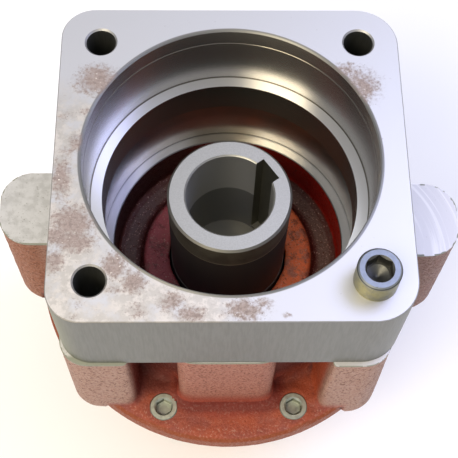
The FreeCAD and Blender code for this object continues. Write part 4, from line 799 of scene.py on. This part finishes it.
def roughForms(h):
    # Smoothing shrinks a form a little, so the outer ones are drawn larger by the swell
    top, more, root = h["joint"] + h["raw"], h["swell"], h["root"]
    rooted = h["base"] + h["rooted"]
    forms = [turnedForm(h, top)]
    inner = h["lugInner"]
    for signX, signY, reachX, reachY, bottom, edge, flare in h["lugs"]:
        corners = [h["lugCorner"] + flare if (x, y) == (signX, signY) else h["lugInnerCorner"]
                   for x, y in ((1, 1), (-1, 1), (-1, -1), (1, -1))]
        forms.append(slab(signX * (reachX + inner) / 2, signY * (reachY + inner) / 2,
                          (reachX - inner) / 2 + flare, (reachY - inner) / 2 + flare,
                          corners, top, bottom - more, edge, flare))
    for side, spot in zip((-1, 1), plugSpots(h)):
        shift = h["rightEarShift"] if side > 0 else 0.0
        middle, half = (h["earReach"] + more + root) / 2, (h["earReach"] + more - root) / 2
        forms.append(slab(side * middle, -shift, half, h["earHalf"] + more, [h["earCorner"]] * 4, top,
                          h["earBottom"] - more, h["earRound"]))
        middle, half = (h["padReach"] + more + root) / 2, (h["padReach"] + more - root) / 2
        forms.append(slab(-h["padShift"], side * middle, h["padHalf"] + more, half,
                          [h["padCorner"]] * 4, top, rooted, foot=(h["foot"], h["baseTop"])))
        boss = [(h["core"], h["bossTop"]), (h["bossRadius"], h["bossTop"]),
                (h["bossRadius"], rooted), (h["core"], rooted)]
        forms.append(lathe(boss, spot, steps=48))
    return forms


def joinForms(name, forms):
    vertices, faces = [], []
    for formVertices, formFaces in forms:
        start = len(vertices)
        vertices += formVertices
        faces += [tuple(start + i for i in face) for face in formFaces]
    made = newMesh(name, vertices, faces)
    work = bmesh.new()
    work.from_mesh(made.data)
    bmesh.ops.remove_doubles(work, verts=work.verts, dist=1e-6)
    bmesh.ops.recalc_face_normals(work, faces=work.faces)
    work.to_mesh(made.data)
    work.free()
    return made


def applyModifiers(made):
    graph = bpy.context.evaluated_depsgraph_get()
    mesh = bpy.data.meshes.new_from_object(made.evaluated_get(graph))
    old = made.data
    made.modifiers.clear()
    made.data = mesh
    bpy.data.meshes.remove(old)


def clamp(value):
    return max(0.0, min(1.0, value))


def roundWeight(h, away, level):
    if away > h["crispRadius"] and level > h["crispLevel"]:
        return h["crispWeight"]
    return 1.0 if away > h["seatRadius"] or level > h["seatLevel"] else 0.0


def filletWeight(h, away, level):
    if away < h["bore"] + h["boreClear"] or level < h["base"] + h["baseClear"]:
        return 0.0
    low = clamp((h["valleyLevel"] - level) / h["valleyFade"])
    return clamp((h["filletReach"] + h["valleyReach"] * low - away) / h["filletFade"])


def smoothWhere(made, h, rounds, weigh):
    # Smooths each point by its weight, which comes from its radius and its height in millimetres
    group = made.vertex_groups.new(name="weights")
    for v in made.data.vertices:
        weight = weigh(h, math.hypot(v.co.x, v.co.y) / mm, v.co.z / mm)
        if weight > 0:
            group.add([v.index], weight, "REPLACE")
    smooth = made.modifiers.new("smooth", "SMOOTH")
    smooth.factor = h["smoothing"]
    smooth.iterations = rounds
    smooth.vertex_group = group.name
    applyModifiers(made)
    made.vertex_groups.clear()


def addSand(work, h):
    # Sand texture stands on cast faces only, and only takes material away
    top, seat, tail = h["joint"] * mm, h["seatLevel"] * mm, h["tail"] * mm + h["sandTail"] * mm
    work.normal_update()
    for v in work.verts:
        inSeat = math.hypot(v.co.x, v.co.y) < h["sandInner"] * mm and v.co.z < seat
        if top - v.co.z < h["sandTop"] * mm or inSeat or v.co.z < tail:
            continue
        push = noise.fractal(v.co / (h["roughSize"] * mm), 1.0, 2.0, 3) - 1.0
        v.co += v.normal * push * h["roughness"] / 2 * mm


def levelMachined(work, h):
    # Cuts back what stands past the joint, the tail, the ears, the flange's rim and the drain's seat
    joint, tail, reach, widest = (h[key] * mm for key in ("joint", "tail", "earReach", "flange"))
    for v in work.verts:
        v.co.z = max(min(v.co.z, joint), tail)
        away = math.hypot(v.co.x, v.co.y)
        if v.co.z < h["baseTop"] * mm and widest < away < widest + h["rimBand"] * mm:
            v.co.x *= widest / away
            v.co.y *= widest / away
        v.co.x = max(min(v.co.x, reach), -reach)
        v.co.y = max(min(v.co.y, widest), -widest)
        level = math.hypot(v.co.x, v.co.z - h["drainLevel"] * mm)
        if v.co.y < 0 and level < h["drainSeat"] * mm:
            v.co.y = max(v.co.y, -h["drainFace"] * mm)


def openPlugHoles(work, h):
    bottom, spots = (h["bossTop"] - h["plugDepth"]) * mm, plugSpots(h)
    gone = []
    for face in work.faces:
        at = face.calc_center_median()
        if at.z > bottom and any(math.hypot(at.x - x * mm, at.y - y * mm) < h["plugHole"] * mm
                                 for x, y in spots):
            gone.append(face)
    bmesh.ops.delete(work, geom=gone, context="FACES")


def markFaces(work, h):
    # Material 0 is on sprayed faces, 1 on the milled joint and 2 in the cavity
    milled = h["joint"] * mm - h["milledDepth"] * mm
    cavity = (h["cavity"] + h["cavityEdge"]) * mm
    for face in work.faces:
        at = face.calc_center_median()
        face.smooth = True
        face.material_index = 0
        if at.z > milled and abs(face.normal.z) > h["milledFacing"]:
            face.material_index = 1
        elif math.hypot(at.x, at.y) < cavity:
            face.material_index = 2


def makeHousing(h):
    made = joinForms("castHousing", roughForms(h))
    remesh = made.modifiers.new("voxels", "REMESH")
    remesh.mode = "VOXEL"
    remesh.voxel_size = h["voxel"] * mm
    applyModifiers(made)
    # Smoothed like a pattern with its fillets, most of all where lugs, ears and pads meet the barrel
    smoothWhere(made, h, h["smoothings"], roundWeight)
    smoothWhere(made, h, h["fillets"], filletWeight)
    work = bmesh.new()
    work.from_mesh(made.data)
    addSand(work, h)
    levelMachined(work, h)
    bmesh.ops.remove_doubles(work, verts=work.verts, dist=h["merge"] * mm)
    openPlugHoles(work, h)
    markFaces(work, h)
    work.to_mesh(made.data)
    work.free()
    made.data.set_sharp_from_angle(angle=math.radians(h["sharpAngle"]))
    return made


print("housing")
castHousing = makeHousing(housing)
for material in (primer, milledIron, cavityPrimer):
    castHousing.data.materials.append(material)

# The machined bore of the casting, with the ledge at its foot and a short lip over the cast wall. Its
# ends reach into the cast wall by the lap, and it stands a little before the cast faces.
bore = {
    "top": housing["joint"], "sunk": 0.02, "radius": housing["bore"], "ledge": housing["ledge"],
    "inner": housing["cavity"], "proud": 0.05, "lip": -91.0, "lipSlope": 0.2, "break": 0.4,
    "lap": 0.9, "sharpAngle": 30.0,
}


def makeBore(b):
    top, lip = b["top"] - b["sunk"], b["inner"] - b["proud"]
    profile = [
        (b["radius"] + b["lap"], top), (b["radius"], top), (b["radius"], b["ledge"]),
        (b["inner"] + b["break"], b["ledge"]), (lip, b["ledge"] - b["break"]), (lip, b["lip"]),
        (b["inner"] + b["lap"], b["lip"] - b["lipSlope"]),
    ]
    made = newMesh("housingBore", *lathe(profile, steps=256, closed=False))
    # From the lip on, the faces are primed
    primed = 4
    for index, face in enumerate(made.data.polygons):
        face.material_index = 1 if index % (len(profile) - 1) >= primed else 0
        face.use_smooth = True
    made.data.set_sharp_from_angle(angle=math.radians(b["sharpAngle"]))
    return made


housingBore = makeBore(bore)
housingBore.data.materials.append(boreIron)
housingBore.data.materials.append(cavityPrimer)
for piece in (castHousing, housingBore):
    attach(piece, "motor_body")
    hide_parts("housing")

# Carried over pieces: shade their round faces smoothly and keep their machined edges crisp
crispAngle = 28.0
for node in nodes.values():
    node.data.shade_smooth()
    node.data.set_sharp_from_angle(angle=math.radians(crispAngle))

# Floor, light and camera, in metres but for the grain of the floor, a matt paper that takes soft
# shadows only. Each light has its power in watts, its size, its place and its colour.
studio = {
    "floorColour": "#FAFBFF", "floorCloud": "#FCFCFF", "cloudSize": 180.0, "floorSize": 3.0,
    "floorGap": 0.0005, "worldColour": "#F6F6F7", "worldStrength": 0.765, "aim": (0.0, 0.0, -0.05),
    "lights": {
        "keyLight": (1.7, 0.8, (0.4, 0.3, 1.0), "#F6F7FF"),
        "coolLight": (2.65, 0.4, (0.48, 0.18, 0.64), "#B8C2FF"),
        "warmLight": (6.1, 0.4, (-0.33, -0.42, 0.64), "#FFF1CE"),
    },
}
# Where the camera stands and how it is turned, and its focal length in pixels of the frame
view = {
    "azimuth": -2.64, "elevation": 64.83, "roll": 2.34, "place": (-9.57, -214.0, 383.2),
    "focal": 1050.5, "frame": 458, "sensor": 36.0, "nearest": 10.0,
}


def makeFloor(s):
    low = cadBox[0].z - s["floorGap"]
    half = s["floorSize"] / 2
    corners = [(-half, -half, low), (half, -half, low), (half, half, low), (-half, half, low)]
    mesh = bpy.data.meshes.new("floor")
    mesh.from_pydata(corners, [], [(0, 1, 2, 3)])
    floor = bpy.data.objects.new("floor", mesh)
    bpy.context.scene.collection.objects.link(floor)
    material, tree, base, place = startMaterial("paleStudioPaper", Roughness=0.9)
    cloud = grain(tree, place, s["cloudSize"])
    setShader(tree, base, Base_Color=paint(tree, s["floorColour"], (cloud, s["floorCloud"])))
    mesh.materials.append(material)


def addLight(name, power, size, place, colour):
    lamp = bpy.data.lights.new(name, "AREA")
    lamp.energy = power
    lamp.shape = "SQUARE"
    lamp.size = size
    lamp.color = linear(colour)[:3]
    made = bpy.data.objects.new(name, lamp)
    made.location = place
    made.rotation_euler = (Vector(studio["aim"]) - Vector(place)).to_track_quat("-Z", "Y").to_euler()
    bpy.context.scene.collection.objects.link(made)


print("stage and camera")
makeFloor(studio)
for name, settings in studio["lights"].items():
    addLight(name, *settings)
world = bpy.data.worlds.new("studio")
world.use_nodes = True
feed(world.node_tree, world.node_tree.nodes["Background"],
     {0: linear(studio["worldColour"]), 1: studio["worldStrength"]})
bpy.context.scene.world = world
bpy.context.scene.view_settings.view_transform = "Standard"

camera = bpy.data.objects.new("camera", bpy.data.cameras.new("camera"))
camera.data.sensor_width = view["sensor"]
camera.data.lens = view["focal"] / view["frame"] * view["sensor"]
turn = (Matrix.Rotation(math.radians(view["azimuth"]), 4, "Z")
        @ Matrix.Rotation(math.radians(90 - view["elevation"]), 4, "X")
        @ Matrix.Rotation(math.radians(view["roll"]), 4, "Z"))
camera.matrix_world = Matrix.Translation(Vector(view["place"]) * mm) @ turn
camera.data.clip_start = view["nearest"] * mm
bpy.context.scene.collection.objects.link(camera)
bpy.context.scene.camera = camera

print("finish")
